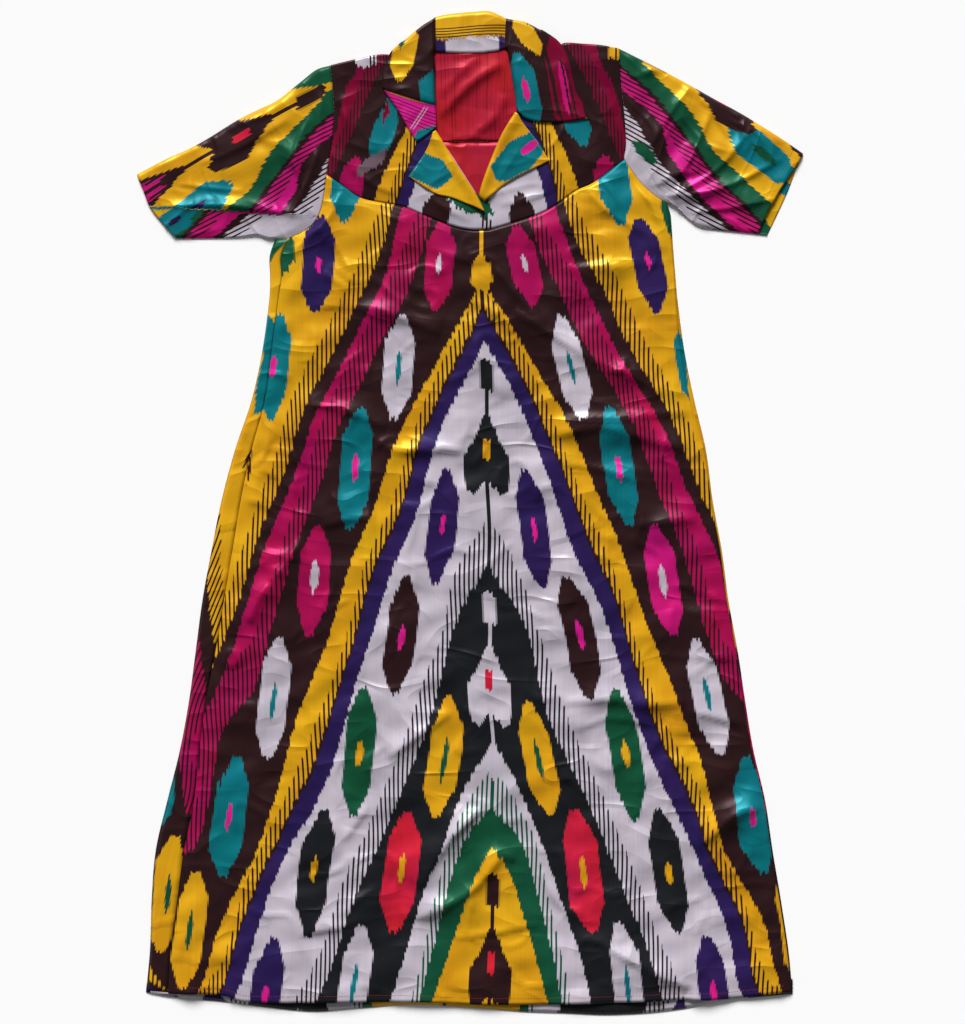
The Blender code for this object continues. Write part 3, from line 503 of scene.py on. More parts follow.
@dataclass(frozen=True)
class Relief:
    """The creases of one panel, and the slight unevenness of the cloth between them."""

    soft: tuple[Crease, ...] = ()
    sharp: tuple[Crease, ...] = ()
    swell: float = 0.0005
    crumple: float = 0.0
    seed: int = 1
    waves: int = 16
    swell_lengths: tuple[float, float] = (0.028, 0.088)
    crumple_lengths: tuple[float, float] = (0.045, 0.150)
    crumple_width: float = 0.22
    end_share: float = 0.15
    spacing: float = 0.0015
    strength: float = 1.35
    reach: float = 4.0  # how far a crease is felt, in widths
    crest: float = 0.12  # how round its crest is, in widths
    crumpled: tuple[float, float] = (0.35, 0.6)  # how much of the cloth crumples, and how patchily
    kept: float = 0.3  # the share of a large crease that runs on into a seam

    def _one(self, crease: Crease, plan: np.ndarray, kind: Fold) -> np.ndarray:
        """Shapes one crease.

        Args:
            crease: the crease's line, width and height.
            plan: the panel's points.
            kind: how the crease is rounded.

        Returns:
            Its height at each point.
        """
        rise = np.zeros(plan.shape[:2])
        bend = [(crease.x0, crease.y0), (crease.x1, crease.y1), (crease.x2, crease.y2)]
        steps = max(CURVE_STEPS, int(math.dist(bend[0], bend[2]) / self.spacing))
        line = smooth(bend, steps)
        reach = self.reach * crease.width
        low, high = line.min(axis=0) - reach, line.max(axis=0) + reach
        near = np.all((plan > low) & (plan < high), axis=2)
        points = plan[near]
        if not len(points):
            return rise
        gap = points[:, None] - line
        away = np.linalg.norm(gap, axis=2)
        at = away.argmin(axis=1)
        along = np.gradient(line, axis=0)[at]
        nearest = gap[np.arange(len(points)), at]
        side = np.sign(along[:, 0] * nearest[:, 1] - along[:, 1] * nearest[:, 0])
        power, lean = kind.value
        share = at / steps
        taper = np.sqrt(np.clip(4 * share * (1 - share), 0.0, 1.0))
        spread = crease.width * (1.0 + lean * side)
        distance = np.sqrt(away.min(axis=1) ** 2 + (self.crest * crease.width) ** 2)
        rise[near] = (crease.height * (self.end_share + (1 - self.end_share) * taper)
                      * np.exp(-(distance / spread) ** power))
        return rise

    def _waves(self, plan: np.ndarray, random: np.random.Generator,
               lengths: tuple[float, float]) -> np.ndarray:
        """Sums waves of random direction and length.

        Args:
            plan: the panel's points.
            random: the source of random numbers.
            lengths: the least and greatest wavelength.

        Returns:
            The waves' sum at each point, with a spread of about 1.
        """
        total, power = np.zeros(plan.shape[:2]), 0.0
        for _ in range(self.waves):
            length = random.uniform(*lengths)
            turn = random.uniform(0.0, math.pi)
            wave = plan[..., 0] * math.cos(turn) + plan[..., 1] * math.sin(turn)
            start = random.uniform(0.0, 2 * math.pi)
            total += np.sin(2 * math.pi * wave / length + start) * length**0.5
            power += length / 2
        return total / power**0.5

    def height(self, plan: np.ndarray, calm: np.ndarray | float = 1.0) -> np.ndarray:
        """Adds up the panel's relief.

        Args:
            plan: the panel's points.
            calm: the share of the small relief that is left at each point.

        Returns:
            The height at each point, never below zero.
        """
        rise = np.zeros(plan.shape[:2])
        for crease in self.soft:
            rise = np.maximum(rise, self._one(crease, plan, Fold.SOFT))
        small = np.zeros(plan.shape[:2])
        for crease in self.sharp:
            small += self.strength * self._one(crease, plan, Fold.SHARP)
        random = np.random.default_rng(self.seed)
        swell = self._waves(plan, random, self.swell_lengths)
        small += self.swell * (1.0 + np.clip(swell / 2, -1.0, 1.0))
        if self.crumple:
            lines, patches = (self._waves(plan, random, self.crumple_lengths) for _ in range(2))
            share, spread = self.crumpled
            small += (self.crumple * np.exp(-(lines / self.crumple_width) ** 2)
                      * np.clip(share + spread * patches, 0.0, 1.0))
        return rise * (self.kept + (1 - self.kept) * calm) + small * calm


# Making a piece of cloth


def placed(name: str, mesh: bmesh.types.BMesh, *materials: Material) -> bpy.types.Object:
    """Puts a finished mesh into the scene, smoothly shaded.

    Args:
        name: the object's name.
        mesh: its mesh, which is freed.
        materials: its materials, in order.

    Returns:
        The object.
    """
    data = bpy.data.meshes.new(name)
    mesh.to_mesh(data)
    mesh.free()
    data.shade_smooth()
    for material in materials:
        data.materials.append(material)
    obj = bpy.data.objects.new(name, data)
    bpy.context.scene.collection.objects.link(obj)
    return obj


class Shell(NamedTuple):
    """One sheet of a piece: its points in plan, the height of its outer side and its dyed place."""

    plan: np.ndarray
    high: np.ndarray
    dyed: np.ndarray


@dataclass
class Cloth:
    """A piece of cloth made of one or more shells, with its place on the dyed cloth as UV map."""

    name: str
    shells: list[Shell]
    joined: bool = False

    def area(self) -> float:
        """Measures the piece's cells in plan.

        Returns:
            Their area in square metres.
        """
        total = 0.0
        for shell in self.shells:
            a = shell.plan[1:, 1:] - shell.plan[:-1, :-1]
            b = shell.plan[:-1, 1:] - shell.plan[1:, :-1]
            total += 0.5 * float(np.abs(a[..., 0] * b[..., 1] - a[..., 1] * b[..., 0]).sum())
        return total

    def _grid(self, mesh: bmesh.types.BMesh, shell: Shell) -> None:
        """Adds one shell to the mesh.

        Args:
            mesh: the mesh that it is added to.
            shell: the sheet to add.
        """
        rows, columns = shell.plan.shape[:2]
        layer = mesh.loops.layers.uv.verify()
        made = bmesh.ops.create_grid(mesh, x_segments=columns - 1, y_segments=rows - 1, size=0.5)
        places = {}
        for vert in made["verts"]:
            i = round((vert.co.x + 0.5) * (columns - 1))
            j = round((0.5 - vert.co.y) * (rows - 1))
            places[vert] = shell.dyed[j, i]
            vert.co = (*shell.plan[j, i], shell.high[j, i])
        for face in {face for vert in made["verts"] for face in vert.link_faces}:
            for loop in face.loops:
                loop[layer].uv = places[loop.vert]

    def build(self, *dyed: Material) -> bpy.types.Object:
        """Builds the piece's object.

        Args:
            dyed: the material of its modelled side, then that of its other side.

        Returns:
            The object, at the origin, with its wall as a Solidify modifier.
        """
        mesh = bmesh.new()
        for shell in self.shells:
            self._grid(mesh, shell)
        if self.joined:
            bmesh.ops.remove_doubles(mesh, verts=mesh.verts[:], dist=MERGE)
        obj = placed(self.name, mesh, *dyed)
        obj.data.uv_layers[0].name = "cloth"
        wall = obj.modifiers.new("wall", "SOLIDIFY")
        wall.material_offset = len(dyed) - 1
        wall.thickness = CLOTH
        wall.offset = -1.0
        return obj


# The dyed pattern


class Band(NamedTuple):
    """A band of one dye below an edge that is given by distance from the centre and height."""

    dye: Dye
    edge: Line
    rise: float = 0.0
    comb: float = 0.0


class Motif(NamedTuple):
    """A spindle of one dye with a small core of another.

    It keeps its width up to the shoulder, a share of its half height, and narrows from there.
    """

    u: float
    v: float
    half_u: float
    half_v: float
    dye: Dye
    core: Dye | None = None
    core_u: float = 4.0
    core_v: float = 14.0
    lean: float = 0.14
    shoulder: float = 0.50
    side: int = 0
    combed: bool = False


def spot(u: float, v: float, half_u: float, half_v: float, dye: Dye, *bent: float) -> Motif:
    """Lays out a spindle without a core.

    Args:
        u: the place of its middle, across.
        v: the place of its middle, along.
        half_u: half its width.
        half_v: half its length.
        dye: its colour.
        bent: its lean, shoulder, side and whether it is combed, as far as they are its own.

    Returns:
        The spindle.
    """
    return Motif(u, v, half_u, half_v, dye, None, 0, 0, *bent)


class Stripe(NamedTuple):
    """A straight stripe of one dye, from start to end, at the height v of its middle."""

    dye: Dye
    start: float
    end: float
    v: float
    width: float
    slope: float = 0.0


class Arrow(NamedTuple):
    """A block, a line, and a forked arrowhead on the centre line, above and below its apex."""

    apex: float
    start: float
    dye: Dye
    core: Dye


@dataclass
class Bench:
    """A material's node tree, with short ways to add nodes to it."""

    tree: bpy.types.NodeTree

    def add(self, kind: str, **settings: object) -> bpy.types.Node:
        """Adds a node.

        Args:
            kind: the node's type name, without its leading ShaderNode.
            settings: attributes to set on it.

        Returns:
            The node.
        """
        node = self.tree.nodes.new("ShaderNode" + kind)
        for name, value in settings.items():
            setattr(node, name, value)
        return node

    def feed(self, socket: Socket, value: object) -> None:
        """Links a socket to another one, or sets its value.

        Args:
            socket: the input to fill.
            value: the other socket, or the value.
        """
        if isinstance(value, Socket):
            self.tree.links.new(value, socket)
        else:
            socket.default_value = value

    def maths(self, operation: str, *values: object) -> Socket:
        """Adds a Math node.

        Args:
            operation: the node's operation.
            values: its inputs, sockets or numbers.

        Returns:
            The result's socket.
        """
        node = self.add("Math", operation=operation)
        for socket, value in zip(node.inputs, values):
            self.feed(socket, value)
        return node.outputs[0]

    def ramp(self, value: object, low: float, high: float, top: float = 1.0) -> Socket:
        """Adds a clamped linear ramp.

        Args:
            value: the input.
            low: the input that gives 0.
            high: the input that gives the top.
            top: the greatest result.

        Returns:
            The result's socket.
        """
        node = self.add("MapRange")
        for socket, item in zip(node.inputs, (value, low, high, 0.0, top)):
            self.feed(socket, item)
        return node.outputs[0]

    def profile(self, share: object, points: Line, span: tuple[float, float],
                range_: tuple[float, float]) -> Socket:
        """Adds a curve through points, read and given as shares of its spans.

        Args:
            share: the input, from 0 to 1 over its span.
            points: pairs of input and output.
            span: the least and greatest input.
            range_: the least and greatest output.

        Returns:
            The output's socket, from 0 to 1 over its range.
        """
        node = self.add("FloatCurve")
        line = node.mapping.curves[0]
        norm = [((x - span[0]) / (span[1] - span[0]), (y - range_[0]) / (range_[1] - range_[0]))
                for x, y in sorted(points)]
        norm = [(x, min(max(y, 0.0), 1.0)) for x, y in norm if 0.0 <= x <= 1.0]
        line.points[0].location = norm[0]
        line.points[1].location = norm[-1]
        for x, y in norm[1:-1]:
            line.points.new(x, y)
        for point in line.points:
            point.handle_type = "AUTO_CLAMPED"
        node.mapping.use_clip = True
        node.mapping.update()
        self.feed(node.inputs[1], share)
        return node.outputs[0]

    def curve(self, value: object, points: Line, span: tuple[float, float],
              range_: tuple[float, float]) -> Socket:
        """Adds a curve through points.

        Args:
            value: the input.
            points: pairs of input and output.
            span: the least and greatest input.
            range_: the least and greatest output.

        Returns:
            The output's socket.
        """
        share = self.profile(self.ramp(value, *span), points, span, range_)
        return self.maths("MULTIPLY_ADD", share, range_[1] - range_[0], range_[0])

    def noise(self, place: Socket, scale: float, detail: float) -> bpy.types.Node:
        """Adds a flat noise.

        Args:
            place: where it is read.
            scale: how many of its patches lie in a unit of length.
            detail: how much finer noise lies on it.

        Returns:
            The node.
        """
        node = self.add("TexNoise", noise_dimensions="2D")
        self.feed(node.inputs["Vector"], place)
        node.inputs["Scale"].default_value = scale
        node.inputs["Detail"].default_value = detail
        return node

    def stretched(self, place: Socket, scale: Scale, turn: float) -> Socket:
        """Adds a scaled and turned copy of a place.

        Args:
            place: the place.
            scale: how much it is scaled along each axis.
            turn: the angle that it is turned by.

        Returns:
            The new place.
        """
        node = self.add("Mapping")
        node.inputs["Scale"].default_value = scale
        node.inputs["Rotation"].default_value = (0.0, 0.0, turn)
        self.feed(node.inputs["Vector"], place)
        return node.outputs[0]

    def blend(self, share: object, under: object, over: object, **settings: object) -> Socket:
        """Adds a colour mix.

        Args:
            share: how much of the upper colour shows.
            under: the lower colour.
            over: the upper colour.
            settings: attributes to set on the node.

        Returns:
            The mixed colour's socket.
        """
        node = self.add("Mix", data_type="RGBA", **settings)
        self.feed(node.inputs[0], share)
        for socket, value in ((node.inputs[6], under), (node.inputs[7], over)):
            self.feed(socket, (*value.value, 1.0) if isinstance(value, Dye) else value)
        return node.outputs[2]


def blank(name: str) -> tuple[Material, Bench]:
    """Makes a new material without nodes.

    Args:
        name: the material's name.

    Returns:
        The material, and the bench that fills it.
    """
    made = bpy.data.materials.new(name)
    made.use_nodes = True
    made.node_tree.nodes.clear()
    return made, Bench(made.node_tree)


class Crinkle(NamedTuple):
    """Fine creases in one direction, and the patches of the cloth that they show in."""

    scale: Scale
    turn: float
    low: float
    high: float


@dataclass(frozen=True)
class Satin:
    """The finish of the silk: its gloss, its fine ribs and the unevenness of its dye."""

    roughness: float = 0.36
    rough_spread: float = 0.16
    specular: float = 0.70
    tint: float = 0.9
    tint_gain: float = 4.0
    shade: float = 0.34
    thread_share: float = 0.22
    hue_drift: float = 0.030
    cloud_scale: float = 11.0
    cloud_detail: float = 2.0
    ripple: float = 0.0008
    ripple_scale: Scale = (14.0, 30.0, 1.0)
    ripple_turn: float = 0.5
    crinkle: float = 0.0011
    crinkle_width: float = 0.14
    crinkle_power: float = 1.3
    crinkle_detail: float = 0.6
    crinkle_bend: float = 0.4
    patch_scale: float = 16.0
    crinkles: tuple[Crinkle, ...] = (
        Crinkle((7.0, 15.0, 1.0), 0.55, 0.40, 0.60), Crinkle((11.0, 24.0, 1.0), -0.45, 0.60, 0.40))

    def _crinkle(self, bench: Bench, place: Socket, patches: Socket, kind: Crinkle) -> Socket:
        """Adds fine creases that run on as lines and fade in and out.

        Args:
            bench: the material's nodes.
            place: the place on the cloth, in metres.
            patches: the noise that says where the creases show.
            kind: how the creases run.

        Returns:
            Their height.
        """
        noise = bench.noise(bench.stretched(place, kind.scale, kind.turn), 1.0, self.crinkle_detail)
        noise.inputs["Distortion"].default_value = self.crinkle_bend
        off = bench.maths("ABSOLUTE", bench.maths("SUBTRACT", noise.outputs[0], 0.5))
        line = bench.maths("POWER", bench.ramp(off, self.crinkle_width, 0.0), self.crinkle_power)
        share = bench.ramp(patches, kind.low, kind.high)
        return bench.maths("MULTIPLY", bench.maths("MULTIPLY", line, share), self.crinkle)

    def dress(self, bench: Bench, colour: Socket, place: Socket, thread: Socket) -> None:
        """Wires the shader of a cloth.

        Args:
            bench: the material's nodes.
            colour: the dyed colour.
            place: the place on the cloth, in metres.
            thread: a random number for each thread.
        """
        shader = bench.add("BsdfPrincipled")
        shader.inputs["Specular IOR Level"].default_value = self.specular
        bench.feed(bench.add("OutputMaterial").inputs[0], shader.outputs[0])
        cloud = bench.noise(place, self.cloud_scale, self.cloud_detail).outputs[0]
        uneven = bench.maths("MULTIPLY_ADD", thread, self.thread_share, cloud)
        tone = bench.add("HueSaturation")
        bench.feed(tone.inputs["Value"], bench.maths(
            "MULTIPLY_ADD", uneven, self.shade, 1.0 - self.shade * (0.5 + self.thread_share / 2)))
        bench.feed(tone.inputs["Hue"], bench.maths(
            "MULTIPLY_ADD", cloud, self.hue_drift, 0.5 - self.hue_drift / 2))
        bench.feed(tone.inputs["Color"], colour)
        bench.feed(shader.inputs["Base Color"], tone.outputs[0])
        bright = bench.add("VectorMath", operation="SCALE")
        bench.feed(bright.inputs[0], colour)
        bright.inputs["Scale"].default_value = self.tint_gain
        gloss = bench.blend(self.tint, (1.0, 1.0, 1.0, 1.0), bright.outputs[0], clamp_result=True)
        bench.feed(shader.inputs["Specular Tint"], gloss)
        bench.feed(shader.inputs["Roughness"], bench.maths(
            "MULTIPLY_ADD", cloud, self.rough_spread, self.roughness - self.rough_spread / 2))
        wave = bench.noise(bench.stretched(place, self.ripple_scale, self.ripple_turn), 1.0, 1.0)
        height = bench.maths("MULTIPLY", wave.outputs[0], self.ripple)
        patches = bench.noise(place, self.patch_scale, 0.0).outputs[0]
        for kind in self.crinkles:
            height = bench.maths("ADD", height, self._crinkle(bench, place, patches, kind))
        bump = bench.add("Bump")
        bump.inputs["Strength"].default_value = 1.0
        bump.inputs["Distance"].default_value = 1.0
        bench.feed(bump.inputs["Height"], height)
        bench.feed(shader.inputs["Normal"], bump.outputs[0])


@dataclass(frozen=True)
class Chart:
    """A dyed pattern, charted in millimetres from its centre line and its zero height."""

    name: str
    ground: Dye
    bands: tuple[Band, ...] = ()
    motifs: tuple[Motif, ...] = ()
    arrows: tuple[Arrow, ...] = ()
    stripes: tuple[Stripe, ...] = ()
    centre: Line = ()
    mirrored: bool = True
    span: float = 420.0
    low: float = -650.0
    high: float = 650.0
    bundle: float = 2.2
    thread: float = 0.9
    jag: float = 6.0
    fine_jag: float = 2.2
    comb_period: float = 5.5
    comb_share: float = 0.40
    soft: float = 1.4
    tip: float = 1.16
    blunt: float = 25.0
    tilt: float = 0.0
    satin: Satin = Satin()
    block: Line = ((-150.0, 2.6), (-97.0, 2.6), (-94.0, 19.0), (-84.0, 25.0), (-70.0, 26.0),
                   (-50.0, 26.0), (-40.0, 22.0), (-20.0, 12.0), (-2.0, 4.5), (2.0, 2.2),
                   (28.0, 2.2), (32.0, 7.6), (64.0, 7.6), (68.0, 0.0), (100.0, 0.0))
    notch: Line = ((-150.0, 30.0), (-98.0, 30.0), (-96.0, 18.0), (-84.0, 5.0), (-78.0, 0.0),
                   (100.0, 0.0))
    line_half: float = 2.4
    stripe_edge: tuple[float, float] = (0.7, 0.3)  # where a stripe fades, in widths
    end_soft: float = 1.0
    arrow_soft: float = 0.7
    heart_v: float = -41.0  # the core of the arrowhead, from its apex
    heart_half: tuple[float, float] = (4.6, 12.0)
    heart_soft: float = 0.5
    arrow_reach: tuple[float, float] = (-150.0, 100.0)
    arrow_span: tuple[float, float] = (0.0, 40.0)
    drift_scale: float = 9.0
    drift: tuple[float, float] = (8.0, 16.0)  # how far the dye runs off its drawing, in all
    centre_most: float = 60.0

    def material(self) -> Material:
        """Makes the cloth's material.

        Returns:
            The material, with the pattern and the satin's finish.
        """
        made, bench = blank(self.name)
        dyeing = Dyeing(self, bench, (*self.ground.value, 1.0))
        for band in self.bands:
            dyeing.band(band)
        for motif in self.motifs:
            dyeing.motif(motif)
        for stripe in self.stripes:
            dyeing.stripe(stripe)
        if self.arrows:
            dyeing.arrow(self.arrows)
        self.satin.dress(bench, dyeing.colour, dyeing.place, dyeing.thread)
        return made


@dataclass
class Dyeing:
    """The dyes of a chart as they are laid over each other in one material.

    place is in metres and all else in millimetres: signed is the distance from the centre line,
    u the same without its sign on a mirrored cloth, level the height, and v the height with the
    jags of the thread bundles. across and rise are u and v as shares of the chart's size, thread
    is a number for each thread, comb is 1 on the comb's teeth, and sides is u on either side.
    """

    chart: Chart
    bench: Bench
    colour: object
    leans: dict[float, Socket] = field(default_factory=dict)
    place: Socket = field(init=False)
    thread: Socket = field(init=False)
    signed: Socket = field(init=False)
    level: Socket = field(init=False)
    u: Socket = field(init=False)
    v: Socket = field(init=False)
    comb: Socket = field(init=False)
    across: Socket = field(init=False)
    rise: Socket = field(init=False)
    sides: dict[int, Socket] = field(init=False)

    def __post_init__(self) -> None:
        """Reads where a point is on the dyed cloth."""
        chart, bench, maths = self.chart, self.bench, self.bench.maths
        self.place = bench.add("UVMap", uv_map="cloth").outputs[0]
        shift = bench.add("VectorMath", operation="MULTIPLY_ADD")
        drift = bench.noise(self.place, chart.drift_scale, 0.0)
        bench.feed(shift.inputs[0], drift.outputs["Color"])
        shift.inputs[1].default_value = (*chart.drift, 0.0)
        shift.inputs[2].default_value = (*(-reach / 2 for reach in chart.drift), 0.0)
        scaled = bench.add("VectorMath", operation="MULTIPLY_ADD")
        bench.feed(scaled.inputs[0], self.place)
        scaled.inputs[1].default_value = (MM, MM, 0.0)
        bench.feed(scaled.inputs[2], shift.outputs[0])
        split = bench.add("SeparateXYZ")
        bench.feed(split.inputs[0], scaled.outputs[0])
        away, self.level = split.outputs[:2]
        if chart.centre:
            centre = bench.curve(self.level, chart.centre, (chart.low, chart.high),
                                 (0.0, chart.centre_most))
            away = maths("SUBTRACT", away, centre)
        counts = [maths("FLOOR", maths("DIVIDE", away, width))
                  for width in (chart.bundle, chart.thread)]
        self.u = self.signed = maths("MULTIPLY_ADD", counts[0], chart.bundle, chart.bundle / 2)
        if chart.mirrored:
            self.u, away = maths("ABSOLUTE", self.signed), maths("ABSOLUTE", away)
        numbers = []
        for count in counts:
            noise = bench.add("TexWhiteNoise", noise_dimensions="1D")
            bench.feed(noise.inputs["W"], count)
            numbers.append(noise.outputs["Value"])
        self.thread = numbers[1]
        jags = [maths("MULTIPLY", maths("SUBTRACT", number, 0.5), size)
                for number, size in zip(numbers, (chart.jag, chart.fine_jag))]
        self.v = maths("ADD", self.level, maths("ADD", *jags))
        phase = maths("FRACT", maths("DIVIDE", away, chart.comb_period))
        self.comb = maths("LESS_THAN", phase, chart.comb_share)
        self.across = bench.ramp(self.u, 0.0, chart.span)
        self.rise = bench.ramp(self.v, chart.low, chart.high)
        self.sides = {0: self.u, 1: self.signed, -1: maths("MULTIPLY", self.signed, -1.0)}

    def band(self, band: Band) -> None:
        """Lays one band over the colour so far.

        Args:
            band: the band.
        """
        chart, bench = self.chart, self.bench
        height = chart.high - chart.low
        edge = bench.profile(self.across, band.edge, (0.0, chart.span), (chart.low, chart.high))
        if band.comb:
            edge = bench.maths("MULTIPLY_ADD", self.comb, band.comb / height, edge)
        inside = bench.maths("SUBTRACT", edge, self.rise)
        share = bench.ramp(inside, (-band.rise - chart.soft) / height,
                           (-band.rise + chart.soft) / height)
        self.colour = bench.blend(share, self.colour, band.dye)

    def lean(self, motif: Motif) -> object:
        """Works out how far an oval leans, to which the cloth's tilt adds on either side.

        Args:
            motif: the oval.

        Returns:
            Its lean, as a number or a socket.
        """
        if motif.side or not self.chart.tilt:
            return motif.lean
        if motif.lean not in self.leans:
            way = self.bench.maths("SIGN", self.signed)
            self.leans[motif.lean] = self.bench.maths("MULTIPLY_ADD", way, self.chart.tilt,
                                                      motif.lean)
        return self.leans[motif.lean]

    def motif(self, motif: Motif) -> None:
        """Lays one oval and its core over the colour so far.

        Args:
            motif: the oval.
        """
        chart, bench, maths = self.chart, self.bench, self.bench.maths
        dv = maths("SUBTRACT", self.v, motif.v)
        du = maths("MULTIPLY_ADD", dv, self.lean(motif),
                   maths("SUBTRACT", self.sides[motif.side], motif.u))
        rise, off = maths("ABSOLUTE", dv), maths("ABSOLUTE", du)
        for dye, half_u, half_v in ((motif.dye, motif.half_u, motif.half_v),
                                    (motif.core, motif.core_u, motif.core_v)):
            if dye is None:
                continue
            soft = min(chart.soft, half_u / 3)
            half = bench.ramp(rise, chart.tip * half_v, motif.shoulder * half_v, half_u + soft / 2)
            inside = maths("SUBTRACT", half, off)
            if half_v > chart.blunt:
                inside = maths("MINIMUM", inside, maths("SUBTRACT", half_v, rise))
            share = bench.ramp(inside, 0.0, soft)
            if motif.combed:
                share = maths("MULTIPLY", share, self.comb)
            self.colour = bench.blend(share, self.colour, dye)

    def stripe(self, stripe: Stripe) -> None:
        """Lays one straight stripe over the colour so far.

        Args:
            stripe: the stripe.
        """
        chart, bench, maths = self.chart, self.bench, self.bench.maths
        middle, half = (stripe.start + stripe.end) / 2, (stripe.end - stripe.start) / 2
        off = maths("SUBTRACT", self.signed, middle)
        line = maths("MULTIPLY_ADD", off, stripe.slope, stripe.v)
        across = maths("ABSOLUTE", maths("SUBTRACT", self.level, line))
        outer, inner = (stripe.width * share for share in chart.stripe_edge)
        ends = bench.ramp(maths("ABSOLUTE", off), half + chart.end_soft, half - chart.end_soft)
        share = maths("MULTIPLY", bench.ramp(across, outer, inner), ends)
        self.colour = bench.blend(share, self.colour, stripe.dye)

    def arrow(self, arrows: Sequence[Arrow]) -> None:
        """Lays the arrows of the centre line over the colour so far.

        Args:
            arrows: the arrows, from the top.
        """
        chart, bench, maths = self.chart, self.bench, self.bench.maths
        apex: object = arrows[0].apex
        dye, core = ((*start.value, 1.0) for start in (arrows[0].dye, arrows[0].core))
        for above, arrow in zip(arrows, arrows[1:]):
            past = maths("LESS_THAN", self.v, arrow.start)
            apex = maths("ADD", apex, maths("MULTIPLY", past, arrow.apex - above.apex))
            dye, core = bench.blend(past, dye, arrow.dye), bench.blend(past, core, arrow.core)
        height = maths("SUBTRACT", self.v, apex)
        half, cut = (bench.curve(height, line, chart.arrow_reach, chart.arrow_span)
                     for line in (chart.block, chart.notch))
        solid, clear = (bench.ramp(maths("SUBTRACT", *pair), -chart.arrow_soft, chart.arrow_soft)
                        for pair in ((half, self.u), (self.u, cut)))
        spine = maths("MULTIPLY", maths("LESS_THAN", self.u, chart.line_half),
                      maths("GREATER_THAN", half, 0.5))
        share = maths("MAXIMUM", maths("MULTIPLY", solid, clear), spine)
        self.colour = bench.blend(share, self.colour, dye)
        heart = maths("ABSOLUTE", maths("SUBTRACT", height, chart.heart_v))
        inside = maths("MINIMUM", *(maths("SUBTRACT", most, away) for most, away in
                                    zip(chart.heart_half, (self.u, heart))))
        share = bench.ramp(inside, -chart.heart_soft, chart.heart_soft)
        self.colour = bench.blend(share, self.colour, core)


# The charts of the dyed cloth

CENTRE: Line = ((-548.0, 25.2), (-428.0, 26.4), (-296.0, 26.4), (-221.0, 24.0), (-80.0, 22.6),
                (52.0, 21.0), (172.0, 17.4), (298.0, 13.8), (400.0, 12.0))
OUTER: Line = ((0, 640), (98, 361), (116, 305), (148, 241), (182, 172), (211, 114), (247, 30),
               (278, -56), (304, -138), (318, -168), (335, -205), (354, -240), (400, -320))
PURPLE_EDGE: Line = ((0, 240), (76, 88), (106, 4), (148, -104), (167, -169), (199, -266),
                     (244, -364), (257, -396), (299, -493), (320, -571), (400, -640))

